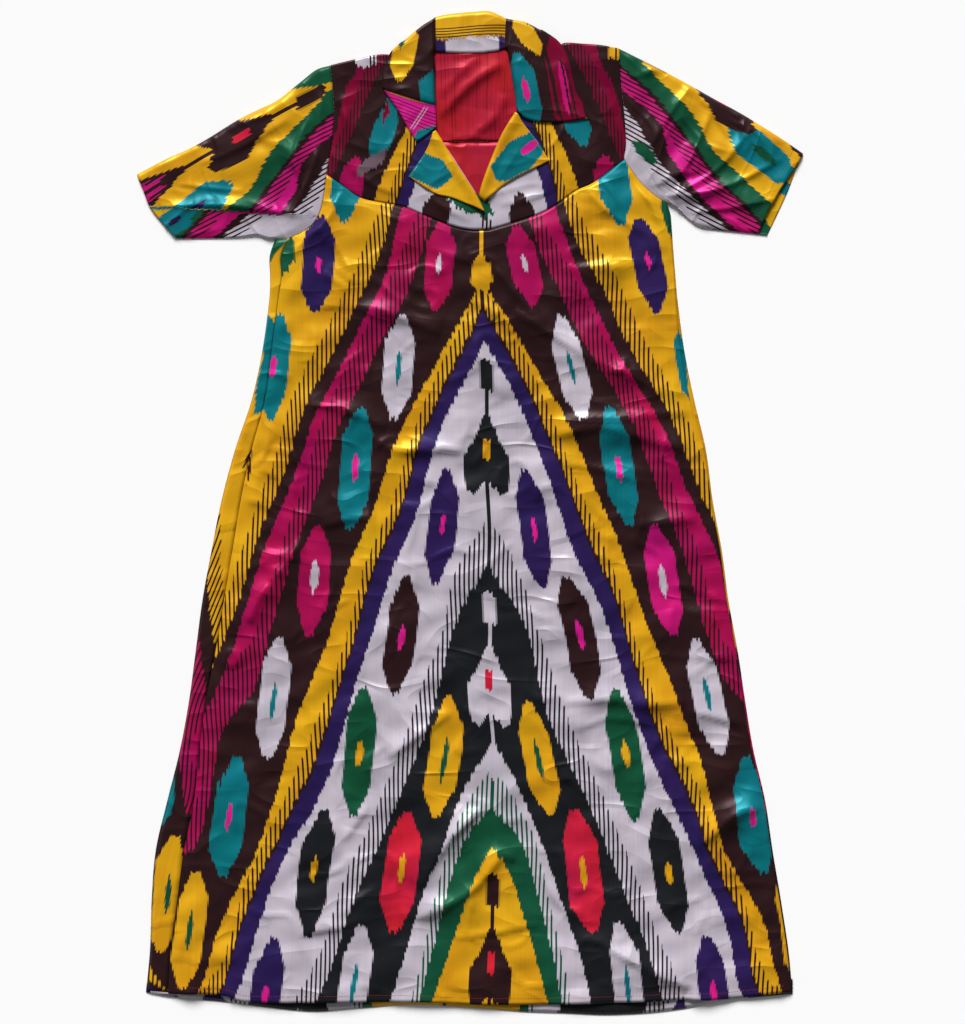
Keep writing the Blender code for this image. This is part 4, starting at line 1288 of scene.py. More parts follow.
SKIRT = Chart(
    name="skirt silk",
    ground=Dye.GOLD,
    centre=CENTRE,
    tilt=0.025,
    bands=(
        Band(Dye.BROWN, OUTER, 18.0, 45.0),
        Band(Dye.MAGENTA, OUTER, -18.0),
        Band(Dye.BROWN, ((0, 520), (55, 361), (73, 305), (104, 241), (139, 172), (168, 114),
                         (204, 30), (235, -56), (260, -138), (280, -200), (310, -240), (325, -262),
                         (333, -300), (340, -355), (352, -392), (400, -420)), 0.0, 54.0),
        Band(Dye.GOLD, ((0, 276), (41, 208), (76, 148), (106, 88), (134, 16), (157, -42),
                        (188, -133), (238, -266), (278, -396), (324, -493), (348, -570),
                        (400, -640))),
        Band(Dye.BROWN, PURPLE_EDGE, 7.0, 30.0),
        Band(Dye.PURPLE, PURPLE_EDGE),
        Band(Dye.WHITE, ((0, 204), (58, 88), (86, 4), (128, -104), (149, -169), (180, -266),
                         (222, -364), (240, -396), (280, -493), (301, -571), (380, -640))),
        Band(Dye.BLACK, ((0, -62), (41, -133), (58, -202), (95, -299), (134, -396), (174, -493),
                         (202, -571), (240, -650)), 0.0, 54.0),
        Band(Dye.WHITE, ((0, -276), (34, -331), (56, -396), (83, -461), (104, -526), (121, -590),
                         (140, -650))),
        Band(Dye.GREEN, ((0, -355), (10, -363), (32, -396), (55, -461), (73, -526), (86, -584),
                         (100, -650)), 0.0, 46.0),
        Band(Dye.GOLD, ((0, -404), (17, -428), (41, -493), (66, -571), (90, -650))),
    ),
    motifs=(
        Motif(198, 298, 18.6, 56, Dye.PURPLE, Dye.PINK, 3, 10),
        Motif(252, 175, 18.6, 64, Dye.TEAL, Dye.PINK),
        Motif(157, 409, 19.5, 64, Dye.TEAL),
        Motif(104, 174, 17.7, 66, Dye.WHITE, Dye.TEAL, 3, 22),
        Motif(157, 53, 17.7, 68, Dye.TEAL, Dye.PINK, 3.5, 15),
        Motif(209, -80, 18.6, 68, Dye.MAGENTA, Dye.WHITE, 5, 21, 0.12, 0.5, -1),
        Motif(209, -80, 18.6, 68, Dye.ROSE, Dye.WHITE, 4, 21, 0.17, 0.5, 1),
        Motif(260, -222, 17.7, 71, Dye.WHITE, Dye.TEAL, 3, 22),
        Motif(314, -365, 19.5, 72, Dye.TEAL, Dye.PINK, 3.5, 14),
        Motif(362, -500, 18.6, 72, Dye.GOLD, Dye.GREEN, 3.5, 22),
        Motif(49, 298, 17.2, 52, Dye.MAGENTA, Dye.WHITE, 3, 12),
        Motif(0, 290, 11, 24, Dye.GOLD),
        spot(0, 322, 2.2, 24, Dye.GOLD, 0.0, 0.9),
        Motif(55, -17, 17.7, 70, Dye.PURPLE, Dye.PINK, 3, 14),
        Motif(106, -148, 18.1, 75, Dye.BROWN, Dye.PINK, 4, 16),
        Motif(160, -289, 18.1, 78, Dye.GREEN, Dye.GOLD, 4.5, 14),
        Motif(212, -431, 19.1, 76, Dye.BLACK, Dye.GOLD, 4, 15),
        Motif(269, -578, 17.7, 73, Dye.PURPLE, Dye.PINK, 3.5, 17),
        Motif(58, -293, 18.6, 69, Dye.GOLD, Dye.GREEN, 3.2, 25),
        Motif(109, -430, 20.5, 74, Dye.RED, Dye.GOLD, 3.5, 19),
        Motif(163, -566, 17.7, 73, Dye.WHITE, Dye.TEAL, 3.2, 25),
        # A painted shadow: a thin brown streak where the left side seam gapes and puckers.
        spot(288, 54, 2, 26, Dye.BROWN, 0.13, 0.2, -1),
        spot(232, 352, 12, 46, Dye.GREEN, 0.25, 0.3, 1),
        spot(242, 312, 17, 30, Dye.GREEN, 0.0, 0.4, -1),
        spot(330, -262, 25, 92, Dye.BROWN, 0.10, 0.30, -1, True),
        spot(224, 344, 17, 14, Dye.GREEN, 0.0, 0.3, -1),
    ),
    arrows=(
        Arrow(114, 650, Dye.BLACK, Dye.GOLD),
        Arrow(-161, -66, Dye.WHITE, Dye.RED),
        Arrow(-500, -320, Dye.BROWN, Dye.RED),
    ),
)

SLEEVE = Chart(
    name="sleeve silk",
    ground=Dye.WHITE,
    low=-400.0,
    high=200.0,
    span=260.0,
    bands=(
        Band(Dye.BROWN, ((0, 100), (20, 62), (49, 4), (73, -46), (90, -78), (101, -102),
                         (114, -150), (135, -230)), 0.0, 50.0),
        Band(Dye.ROSE, ((0, 80), (20, 45), (42, 0), (52, -38), (62, -76), (91, -118), (100, -140),
                        (118, -190), (135, -260))),
        Band(Dye.BROWN, ((0, 30), (20, 8), (30, -22), (40, -56), (52, -84), (68, -132), (80, -162),
                         (97, -207), (115, -260)), 0.0, 40.0),
        Band(Dye.GREEN, ((0, 20), (20, 0), (28, -30), (37, -63), (50, -92), (66, -140), (78, -170),
                         (95, -215), (115, -272))),
        Band(Dye.GOLD, ((0, -8), (8, -34), (15, -50), (22, -72), (33, -108), (43, -132), (58, -158),
                        (66, -188), (80, -235), (95, -290))),
        Band(Dye.BROWN, ((0, -207), (18, -272), (30, -330))),
        Band(Dye.ROSE, ((0, -240), (16, -300)), 0.0, 18.0),
    ),
    comb_share=0.38,
    comb_period=5.0,
    motifs=(
        Motif(35, -212, 19, 52, Dye.TEAL, Dye.GREEN, 5, 18),
        Motif(104, -86, 7, 22, Dye.GREEN),
    ),
    stripes=(
        *(Stripe(Dye.BROWN, start, start + 44, v, 2.0, 0.30)
          for start, v in ((84, -30.0), (88, -24.0))),
    ),
    arrows=(Arrow(-94, 200, Dye.BROWN, Dye.RED),),
)

SLEEVE_LEFT = replace(
    SLEEVE,
    name="left sleeve silk",
    stripes=(),
    motifs=(
        Motif(50, -226, 19, 50, Dye.TEAL, Dye.PURPLE, 4, 14),
        Motif(89, -253, 15, 30, Dye.TEAL, Dye.PURPLE, 3, 10),
    ),
)

YOKE = Chart(
    name="yoke silk",
    ground=Dye.BROWN,
    comb_period=4.2,
    comb_share=0.46,
    centre=((-650.0, 11.0), (0.0, 11.0), (650.0, 11.0)),
    bands=(
        Band(Dye.CRIMSON, ((60, 640), (110, 625), (125, 590), (139, 562), (147, 534), (160, 515),
                           (167, 496), (172, 470), (181, 440), (190, 400), (210, 320))),
        Band(Dye.BROWN, ((0, 640), (60, 630), (102, 562), (119, 532), (130, 515), (140, 496),
                         (148, 476), (162, 442), (176, 405), (195, 320)), 0.0, 34.0),
        Band(Dye.GOLD, ((0, 600), (60, 520), (75, 485), (90, 460), (108, 416), (122, 376),
                        (135, 340), (150, 300))),
        Band(Dye.BROWN, ((0, 560), (40, 520), (60, 482), (70, 462), (84, 418), (95, 378),
                         (105, 342)), 0.0, 38.0),
        Band(Dye.PURPLE, ((0, 550), (40, 510), (60, 472), (70, 452), (84, 408), (95, 368),
                          (105, 332))),
        Band(Dye.WHITE, ((0, 500), (40, 465), (60, 430), (71, 405), (78, 380), (84, 362),
                         (92, 335))),
    ),
    motifs=(
        spot(115, 461, 14, 46, Dye.TEAL, 0.25, 0.3, -1),
        spot(113, 485, 4, 11, Dye.CRIMSON, 0.25, 0.3, -1),
        spot(117, 468, 15, 28, Dye.TEAL, 0.25, 0.3, 1),
        spot(152, 392, 15, 38, Dye.MAGENTA, 0.1),
        # A painted sheen: a greyish spot on the brown of the left yoke half, where light catches
        # the silk.
        spot(128, 420, 12, 17, Dye.PAINTED_SHEEN, 0.9, 0.3, -1),
        Motif(52, 348, 16, 38, Dye.BROWN),
        spot(137, 541, 13, 6, Dye.WHITE, 0.0, 0.9, -1),
        *(spot(u, 541, 1.3, 8, Dye.BROWN, 0.0, 0.9, -1) for u in (131, 127)),
        spot(164, 552, 9, 8, Dye.GOLD, 0.0, 0.9, 1),
        spot(164, 552, 1.6, 9, Dye.BROWN, 0.0, 0.9, 1),
        spot(14, 374, 21, 14, Dye.GREEN, -1.2, 0.6, -1),
        spot(2, 378, 8, 9, Dye.GREEN, 0.0, 0.48, 1),
        *(spot(u, v, 1.3, 9, Dye.BROWN, 0.0, 0.9, 1)
          for u, v in ((3.3, 355), (7.7, 351), (12.1, 347))),
    ),
)

NECK = Chart(
    name="collar silk",
    ground=Dye.GOLD,
    mirrored=False,
    bundle=1.1,
    low=-50.0,
    high=1000.0,
    jag=4.0,
    fine_jag=2.0,
    bands=(
        Band(Dye.PURPLE, ((0, 869), (400, 869))),
        Band(Dye.BROWN, ((0, 800), (400, 800))),
        Band(Dye.PINK, ((0, 250), (400, 250))),
    ),
    stripes=(
        *(Stripe(Dye.BROWN, -60, 60, v, 1.3) for v in (881.0, 877.8, 874.6, 871.2)),
        Stripe(Dye.GOLD, -107, -40, 498.5, 1.8, -0.304),
        *(Stripe(Dye.BROWN, -110, -38, v, 1.1, -0.33)
          for v in (190, 185.5, 181, 176.5, 172, 167.5)),
        *(Stripe(Dye.WHITE, start, start + 18, 173, 1.8, 1.6) for start in (-69, -73)),
    ),
    motifs=(
        spot(2, 859, 32, 9, Dye.WHITE, 0.0, 0.9),
        spot(-77, 551, 15, 34, Dye.GOLD, -0.22, 0.5),
        spot(-79, 567, 4, 13, Dye.GREEN, -0.22),
        spot(-41, 503, 18, 22, Dye.TEAL, 0.1),
        spot(68, 571, 13, 26, Dye.GOLD, 0.5, 0.4),
        Motif(66, 505, 15, 44, Dye.TEAL, Dye.PINK, 4, 13, 0.3),
        Motif(113, 508, 18, 62, Dye.CRIMSON, Dye.ROSE, 5, 30, 0.22, 0.5),
        spot(141, 473, 3, 4, Dye.GOLD, 0.0),
        *(spot(u, v, 1.3, half_v, Dye.BROWN, 0.26, 0.9) for u, v, half_v in (
            (97, 515, 40), (101, 508, 44), (117, 500, 40), (123, 498, 36))),
        spot(-50, 152, 16, 12, Dye.TEAL, -0.5),
    ),
)

LAPEL = Chart(
    name="lapel silk",
    ground=Dye.GOLD,
    mirrored=False,
    bundle=1.1,
    low=0.0,
    high=800.0,
    jag=2.5,
    motifs=(
        spot(-52, 414, 25, 23, Dye.TEAL, 0.5),
        spot(60, 428, 25, 31, Dye.TEAL, -0.8),
        spot(71, 437, 7, 9, Dye.PINK, -0.9),
    ),
)

WRONG_SIDE = Chart(
    name="inside silk",
    ground=Dye.INSIDE,
    mirrored=False,
    bundle=0.6,
    motifs=tuple(spot(*row, Dye.WINE, 0.02, 0.5) for row in (
        (-33, 530, 0.7, 34), (-28, 520, 0.9, 52), (-25, 536, 0.6, 30), (-17, 512, 0.9, 60),
        (-14, 534, 0.6, 34), (-5, 540, 0.7, 24), (8, 520, 0.8, 44), (11, 538, 0.6, 22),
        (20, 514, 0.8, 52), (33, 540, 0.8, 26), (40, 500, 0.8, 34), (44, 492, 0.7, 24),
        (-20, 470, 0.7, 26), (30, 470, 0.8, 24))),
    satin=Satin(roughness=0.36, specular=0.40, shade=0.50, thread_share=0.5, hue_drift=0.02),
)

SKIRT_WRONG_SIDE = replace(
    SKIRT,
    name="skirt inside silk",
    motifs=(*SKIRT.motifs, spot(0, 420, 150, 150, Dye.INSIDE, 0.0, 1.0)),
)


# How the plies lie on each other


@dataclass(frozen=True)
class Layers:
    """How high each piece lies, by what lies under it."""

    cut: Cut = Cut()
    seam_dip: float = 0.0004
    dip_width: float = 0.0034
    calm_width: float = 0.017
    calm_least: float = 0.15

    def calmed(self, gap: np.ndarray) -> np.ndarray:
        """Returns the share of the small relief that is left at a distance from a seam."""
        return self.calm_least + (1 - self.calm_least) * climb(gap, 0.0, self.calm_width)

    def fall_edge(self, x: np.ndarray) -> np.ndarray:
        """Returns the height in the picture of the collar fall's edge, under the back yoke."""
        cut = self.cut
        return cut.fall_y + cut.fall_rise * ((x - cut.fall_middle_x) / cut.collar_half) ** 2

    def over_fall(self, plan: np.ndarray) -> np.ndarray:
        """Returns the ply that a piece climbs where it lies over the collar's fall."""
        past = plan[..., 1] - self.fall_edge(plan[..., 0])
        return PLY * climb(past, -self.cut.lift_ramp - self.cut.lift_margin, -self.cut.lift_margin)

    def over_hem(self, plan: np.ndarray) -> np.ndarray:
        """Works out the ply that the front climbs over the back's turned-up hem.

        Args:
            plan: the points where it is wanted.

        Returns:
            The height at each point.
        """
        cut = self.cut
        edge = curve_through(cut.back_hem)
        above = plan[..., 1] - np.interp(plan[..., 0], edge[:, 0], edge[:, 1]) - cut.hem_depth
        return PLY * climb(-above, -cut.lift_ramp - cut.lift_margin, -cut.lift_margin)

    def over_right_front(self, plan: np.ndarray) -> np.ndarray:
        """Returns the ply that the yoke's left half climbs over its right half."""
        cut = self.cut
        return (PLY * climb(plan[..., 0], cut.overlap_from_x, cut.overlap_to_x)
                * climb(-plan[..., 1], -cut.overlap_from_y, -cut.overlap_to_y))

    def calm(self, plan: np.ndarray, left: Line, right: Line, seam: float) -> np.ndarray:
        """Works out how much of the small relief is left near the seams.

        Args:
            plan: the panel's points.
            left: the panel's left edge.
            right: its right edge.
            seam: 1 for a panel below the yoke's seam, and -1 for one above it.

        Returns:
            The share that is left at each point.
        """
        x, y = plan[..., 0], plan[..., 1]
        near = []
        for sign, line in ((1, left), (-1, right)):
            points = sorted(line, key=lambda point: point[1])
            near.append(sign * (x - np.interp(y, [b for _, b in points], [a for a, _ in points])))
        curve = self.cut.yoke_seam_left + self.cut.yoke_seam_right[1:]
        near.append(seam * (np.interp(x, [a for a, _ in curve], [b for _, b in curve]) - y))
        return self.calmed(np.min(near, axis=0))

    def front(self, plan: np.ndarray) -> np.ndarray:
        """Works out the underside of the front skirt panel.

        Args:
            plan: the points where it is wanted.

        Returns:
            The height at each point.
        """
        cut = self.cut
        calm = self.calm(plan, cut.left_arm_body + cut.left_seam,
                         cut.right_arm_body + cut.right_side, 1.0)
        relief = Relief(cut.front_creases, cut.front_wrinkles, swell=0.0019, crumple=0.0021, seed=4)
        return PLY + self.over_hem(plan) + relief.height(plan, calm)

    def yoke_relief(self, plan: np.ndarray) -> np.ndarray:
        """Works out the relief of the front yoke, which whatever lies on it repeats.

        Args:
            plan: the points where it is wanted.

        Returns:
            The height at each point.
        """
        cut = self.cut
        calm = self.calm(plan, cut.left_arm_shoulder + cut.left_arm_back[1:],
                         cut.right_arm_shoulder + cut.right_arm_back[1:], -1.0)
        return Relief(cut.yoke_creases, cut.yoke_wrinkles, swell=0.0007, crumple=0.0009, seed=8,
                      crumple_lengths=(0.05, 0.12)).height(plan, calm)

    def yoke(self, plan: np.ndarray, laps: bool) -> np.ndarray:
        """Works out the underside of the front yoke.

        Args:
            plan: the points where it is wanted.
            laps: whether it is the half that laps over the other one.

        Returns:
            The height at each point.
        """
        low = PLY + self.over_fall(plan) + self.yoke_relief(plan)
        return low + self.over_right_front(plan) if laps else low

    def dip(self, plan: np.ndarray, sides: str = "tblr") -> np.ndarray:
        """Returns how far a panel sinks beside its seams, at each point."""
        return self.seam_dip * np.exp(-(edge_distance(plan, sides) / self.dip_width) ** 2)


@dataclass
class Panels:
    """What every sub-assembly shares: the cut, its layers, and how a finished piece is built."""

    cut: Cut = field(default_factory=Cut)
    layers: Layers = field(default_factory=Layers)
    sewn: list[np.ndarray] = field(default_factory=list)

    def declare(self, node: str, shells: list[Shell], dyed: Sequence[Material], slot: str,
                flat: tuple[float, float], rests_on: Sequence[str] = ()) -> None:
        """Builds a piece and declares what it stands for.

        Args:
            node: the solid that it replaces.
            shells: its sheets, joined where there are several.
            dyed: the material of its modelled side, then that of its other side.
            slot: not used.
            flat: the size of its cut; not used.
            rests_on: the pieces that it lies on; not used.
        """
        cloth = Cloth(f"{node}_silk", shells, joined=len(shells) > 1)
        obj, area = cloth.build(*dyed), cloth.area()
        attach(obj, "root")
        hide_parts(node)
        LOG.info("%s: %d faces, %.3f square metres", obj.name, len(obj.data.polygons), area)


@dataclass
class Back(Panels):
    """The back yoke, and the back skirt with its rolled left side and its turned-up hem."""

    columns: int = 110
    rows: int = 150
    arm_rows: int = 18
    strip_columns: int = 5
    hem_rows: int = 4
    yoke_size: tuple[int, int] = (90, 34)
    yoke_flat: tuple[float, float] = (0.356, 0.122)
    skirt_flat: tuple[float, float] = (0.796, 1.068)
    # How much lower and wider than the front the back is charted at its left seam, by height
    pattern_drop: Line = ((-0.170, -0.043), (0.013, -0.020), (0.190, 0.0))
    pattern_spread: Line = ((-0.460, -0.003), (-0.170, 0.015), (0.013, 0.009), (0.190, -0.014),
                            (0.270, 0.028))
    spread_from_x: float = 0.2
    fold_high: float = 0.5 * (PLY + CLOTH)

    def yoke(self, *dyed: Material) -> None:
        """Builds the back yoke, whose wrong side shows through the neck.

        Args:
            dyed: the material of its wrong side, which lies upwards, then that of its right side.
        """
        cut, (columns, rows) = self.cut, self.yoke_size
        plan = patch(
            smooth(cut.back_neck_edge, columns),
            even((cut.left_arm_back[0], cut.right_arm_back[0]), columns),
            smooth(cut.left_arm_shoulder, rows),
            smooth(cut.right_arm_shoulder, rows),
        )
        relief = Relief(sharp=cut.back_yoke_wrinkles, swell=0.0004, seed=21)
        high = self.layers.over_fall(plan) + relief.height(plan) + CLOTH
        self.declare("back_yoke", [Shell(plan, high, plan)], dyed, "inside_silk", self.yoke_flat)

    def skirt(self, *dyed: Material) -> None:
        """Builds the back skirt from the right edge round its left fold to the side seam.

        Args:
            dyed: the material of its right side, then that of its wrong side.
        """
        cut, seam = self.cut, self.cut.left_seam
        fold = cut.column("fold_left", cut.left_arm_tip[-1], cut.back_hem[0])
        side_rows = self.rows - self.arm_rows
        left_fold = smooth(fold, side_rows)
        face = patch(
            even((cut.left_arm_back[0], cut.right_arm_back[0]), self.columns),
            smooth(cut.back_hem, self.columns),
            chain(smooth(cut.left_arm_back + cut.left_arm_body[1:] + cut.left_arm_tip[1:],
                         self.arm_rows), left_fold),
            chain(smooth(cut.right_arm_back + cut.right_arm_body[1:] + cut.right_arm_tip[1:],
                         self.arm_rows),
                  smooth(cut.column("back_right", cut.right_arm_tip[-1], cut.back_hem[-1]),
                         side_rows)),
        )[:, ::-1]
        strip = patch(
            even((left_fold[0], cut.left_arm_tip[0]), self.strip_columns),
            even((cut.back_hem[0], cut.front_hem[0]), self.strip_columns),
            left_fold,
            smooth(seam, side_rows),
        )
        strip[:, 0] = face[self.arm_rows:, -1]
        seam_x = np.interp(-face[..., 1], [-y for _, y in seam], [x for x, _ in seam])
        fold_x = np.interp(-face[..., 1], [-y for _, y in fold], [x for x, _ in fold])
        turned = np.maximum(seam_x - fold_x, 0.0) * (face[..., 1] < seam[0][1])
        face_drop, strip_drop, face_spread, strip_spread = (
            np.interp(plan[..., 1], *zip(*shift))
            for shift in (self.pattern_drop, self.pattern_spread) for plan in (face, strip))
        face_spread = face_spread * np.clip(-face[..., 0] / self.spread_from_x, 0.0, 1.0)
        face_dyed = np.stack([face[..., 0] + 2 * turned - face_spread,
                              face[..., 1] + face_drop], axis=2)
        strip_dyed = np.stack([2 * strip[:, -1:, 0] - strip[..., 0] - strip_spread,
                               strip[..., 1] + strip_drop], axis=2)
        face_high = np.zeros(face.shape[:2])
        face_high[self.arm_rows:, -1] = self.fold_high
        face_high[-1] = self.fold_high
        strip_high = np.full(strip.shape[:2], PLY + CLOTH)
        strip_high += Relief(sharp=cut.side_puckers, swell=0.0003, seed=17).height(strip)
        strip_high -= self.layers.dip(strip, "r")
        strip_high[:, 0] = face_high[self.arm_rows:, -1]
        strip_high[-1] = self.fold_high
        steps = np.linspace(0.0, 1.0, self.hem_rows + 1)[:, None]
        keep = face[-1, :, 0] > cut.hem_ply_left_x
        fold_line = face[-1, keep]
        hem = fold_line[None] + np.stack([0 * steps, steps * cut.hem_depth], axis=2)
        hem_dyed = np.stack([np.broadcast_to(face_dyed[-1, keep, 0], hem.shape[:2]),
                             face_dyed[-1, keep, 1] - steps * cut.hem_depth], axis=2)
        hem_high = np.full(hem.shape[:2], PLY + CLOTH)
        hem_high[0] = face_high[-1, keep]
        self.declare("back_skirt", [
            Shell(face, face_high, face_dyed),
            Shell(strip, strip_high, strip_dyed),
            Shell(*(part[::-1, ::-1] for part in (hem, hem_high, hem_dyed))),
        ], dyed, "ikat_silk", self.skirt_flat)


@dataclass
class Front(Panels):
    """The front skirt, the two halves of its yoke, and the lapels turned back onto them."""

    skirt_size: tuple[int, int] = (188, 250)
    seam_left_columns: int = 102
    arm_rows: int = 20
    yoke_size: tuple[int, int] = (64, 66)
    lapel_size: tuple[int, int] = (34, 44)
    skirt_flat: tuple[float, float] = (0.748, 1.000)
    yoke_flat: tuple[float, float] = (0.200, 0.226)
    lapel_flat: tuple[float, float] = (0.062, 0.112)
    roll_rises: tuple[float, float] = (0.0, 0.004)  # distances from the neck side
    roll_falls: tuple[float, float] = (0.006, 0.024)
    hem: list[np.ndarray] = field(default_factory=list)

    def skirt(self, dyed: Material) -> None:
        """Builds the front skirt panel.

        Args:
            dyed: its material.
        """
        cut, (columns, rows) = self.cut, self.skirt_size
        left, arm = self.seam_left_columns, self.arm_rows
        plan = patch(
            chain(smooth(cut.yoke_seam_left, left), smooth(cut.yoke_seam_right, columns - left)),
            smooth(cut.front_hem, columns),
            chain(smooth(cut.left_arm_body, arm), smooth(cut.left_seam, rows - arm)),
            chain(smooth(cut.right_arm_body, arm), smooth(cut.right_side, rows - arm)),
        )
        high = self.layers.front(plan) + CLOTH - self.layers.dip(plan, "tl")
        self.hem.append(np.dstack([plan, high])[-3, 2:-2])
        self.declare("front_skirt", [Shell(plan, high, plan)], (dyed,), "ikat_silk",
                     self.skirt_flat, ("back_skirt_silk",))

    def yoke(self, dyed: Material) -> None:
        """Builds the two halves of the front yoke, the left one lapped over the right one.

        Args:
            dyed: their material.
        """
        cut, (columns, rows) = self.cut, self.yoke_size
        arm_left = smooth(cut.left_arm_shoulder + cut.left_arm_back[1:], rows)
        arm_right = smooth(cut.right_arm_shoulder + cut.right_arm_back[1:], rows)
        left = patch(smooth(cut.left_shoulder, columns), smooth(cut.yoke_seam_left, columns),
                     arm_left, smooth(cut.neck_edge_left, rows))
        seam = chain(np.array(cut.overlap_edge), curve_through(cut.yoke_seam_right))
        right = patch(smooth(cut.right_shoulder, columns), even(seam, columns),
                      smooth(cut.neck_edge_right, rows), arm_right)
        for name, plan, laps in (("left", left, True), ("right", right, False)):
            high = self.layers.yoke(plan, laps) + CLOTH - self.layers.dip(plan)
            self.declare(f"front_yoke_{name}", [Shell(plan, high, plan)], (dyed,), "ikat_silk",
                         self.yoke_flat, ("back_yoke_silk",))

    def lapels(self, dyed: Material) -> None:
        """Builds the two lapels, each rolled along its neck side.

        Args:
            dyed: their material.
        """
        cut, (columns, rows) = self.cut, self.lapel_size
        left = patch(smooth(cut.lapel_left_top, columns), smooth(cut.lapel_left_lower, columns),
                     smooth(cut.lapel_left_outer, rows), smooth(cut.lapel_left_neck, rows))
        right = patch(smooth(cut.lapel_right_top, columns), smooth(cut.lapel_right_lower, columns),
                      smooth(cut.lapel_right_neck, rows), smooth(cut.lapel_right_outer, rows))
        relief = Relief(sharp=cut.lapel_wrinkles, swell=0.0004, seed=11)
        for name, plan, neck, outer in (("left", left, "r", 1), ("right", right, "l", -2)):
            roll = edge_distance(plan, neck)
            high = self.layers.yoke(plan, name == "left") + PLY + CLOTH + relief.height(plan)
            high += (cut.lapel_roll * climb(roll, *self.roll_rises)
                     * (1 - climb(roll, *self.roll_falls)))
            whole = np.dstack([plan, high])
            self.sewn += [whole[-2, 1:-1], whole[3:-1, outer]]
            self.declare(f"lapel_{name}", [Shell(plan, high, plan)], (dyed,), "facing_silk",
                         self.lapel_flat, (f"front_yoke_{name}_silk",))


@dataclass
class Collar(Panels):
    """The collar: its creased left tip, its wings, its stand, and its fall under the back yoke."""

    steps: int = 6
    profile: int = 16
    fall_rows: int = 12
    tip_end: int = 3
    stand_start: int = 12
    stand_end: int = 18
    tip_offset: float = -0.300
    stand_offset: float = 0.300
    flat: tuple[float, float] = (0.520, 0.118)
    roll_profile: Line = ((0.0, 0.0), (0.1, 1.0), (0.25, 0.85), (0.5, 0.3), (0.75, 0.0), (1.0, 0.0))

    def build(self, dyed: Material) -> None:
        """Builds the collar from its sections.

        Args:
            dyed: its material.
        """
        fine = curve_through(np.array(self.cut.collar, float), self.steps)
        roll, over = np.clip(fine[:, 6], 0.0, None), np.clip(fine[:, 7], 1.0, 3.0)
        share = np.linspace(0.0, 1.0, self.profile)
        weights = np.stack([(1 - share) * (1 - 2 * share), 4 * share * (1 - share),
                            share * (2 * share - 1)], axis=1)
        points = fine[:, [4, 5, 2, 3, 0, 1]].reshape(-1, 3, 2)
        plan = np.einsum("pk,rkc->rpc", weights, points)
        rolled = np.interp(share, *zip(*self.roll_profile))
        high = (self.layers.over_fall(plan) + over[:, None] * PLY + CLOTH
                + roll[:, None] * rolled)
        high += self.layers.yoke_relief(plan) * np.clip(over - 1.0, 0.0, 1.0)[:, None]
        high += Relief(sharp=self.cut.collar_wrinkles, swell=0.0003, seed=5).height(plan)
        turned = [index for index, section in enumerate(self.cut.collar) if section.turned]
        first, last = turned[0] * self.steps, turned[-1] * self.steps
        high[first:last + 1, -1] = 0.5 * (PLY + CLOTH)
        whole = np.dstack([plan, high])
        tip, start, end = (at * self.steps
                           for at in (self.tip_end, self.stand_start, self.stand_end))
        self.sewn += [whole[last:-2, -2], whole[-4, 1:-1], whole[tip:first, -2],
                      whole[tip + 2, 1:-1], whole[2:tip, -2]]
        shells = []
        for low_row, high_row, offset in (
                (0, tip, self.tip_offset), (tip, start, 0.0),
                (start, end, self.stand_offset), (end, len(plan) - 1, 0.0)):
            rows = slice(low_row, high_row + 1)
            shells.append(Shell(plan[rows], high[rows], plan[rows] + (0.0, offset)))
        edge = plan[first:last + 1, -1]
        inner = np.stack([edge[:, 0], self.layers.fall_edge(edge[:, 0])], axis=1)
        share = np.linspace(0.0, 1.0, self.fall_rows)[None, :, None]
        under = edge[:, None] * (1 - share) + inner[:, None] * share
        low = np.zeros(under.shape[:2])
        low[:, 0] = high[first:last + 1, -1]
        shells.append(Shell(under, low, under + (0.0, self.stand_offset)))
        self.declare("collar", shells, (dyed,), "collar_silk", self.flat,
                     ("front_yoke_left_silk", "front_yoke_right_silk", "back_yoke_silk"))


@dataclass(frozen=True)
class Arm:
    """One sleeve: its outlines, its creases, and the axis that its pattern is charted along."""

    name: str
    armhole: Line
    cuff: Line
    back_cuff: Line
    top: Line
    under: Line
    back_under: Line
    relief: Relief
    start: tuple[float, float]
    along: tuple[float, float]
    middle: float
    fold_from: tuple[float, float] | None = None
    fold_to: tuple[float, float] | None = None
    fold_shift: float = 0.038
    flat: tuple[float, float] = (0.480, 0.270)


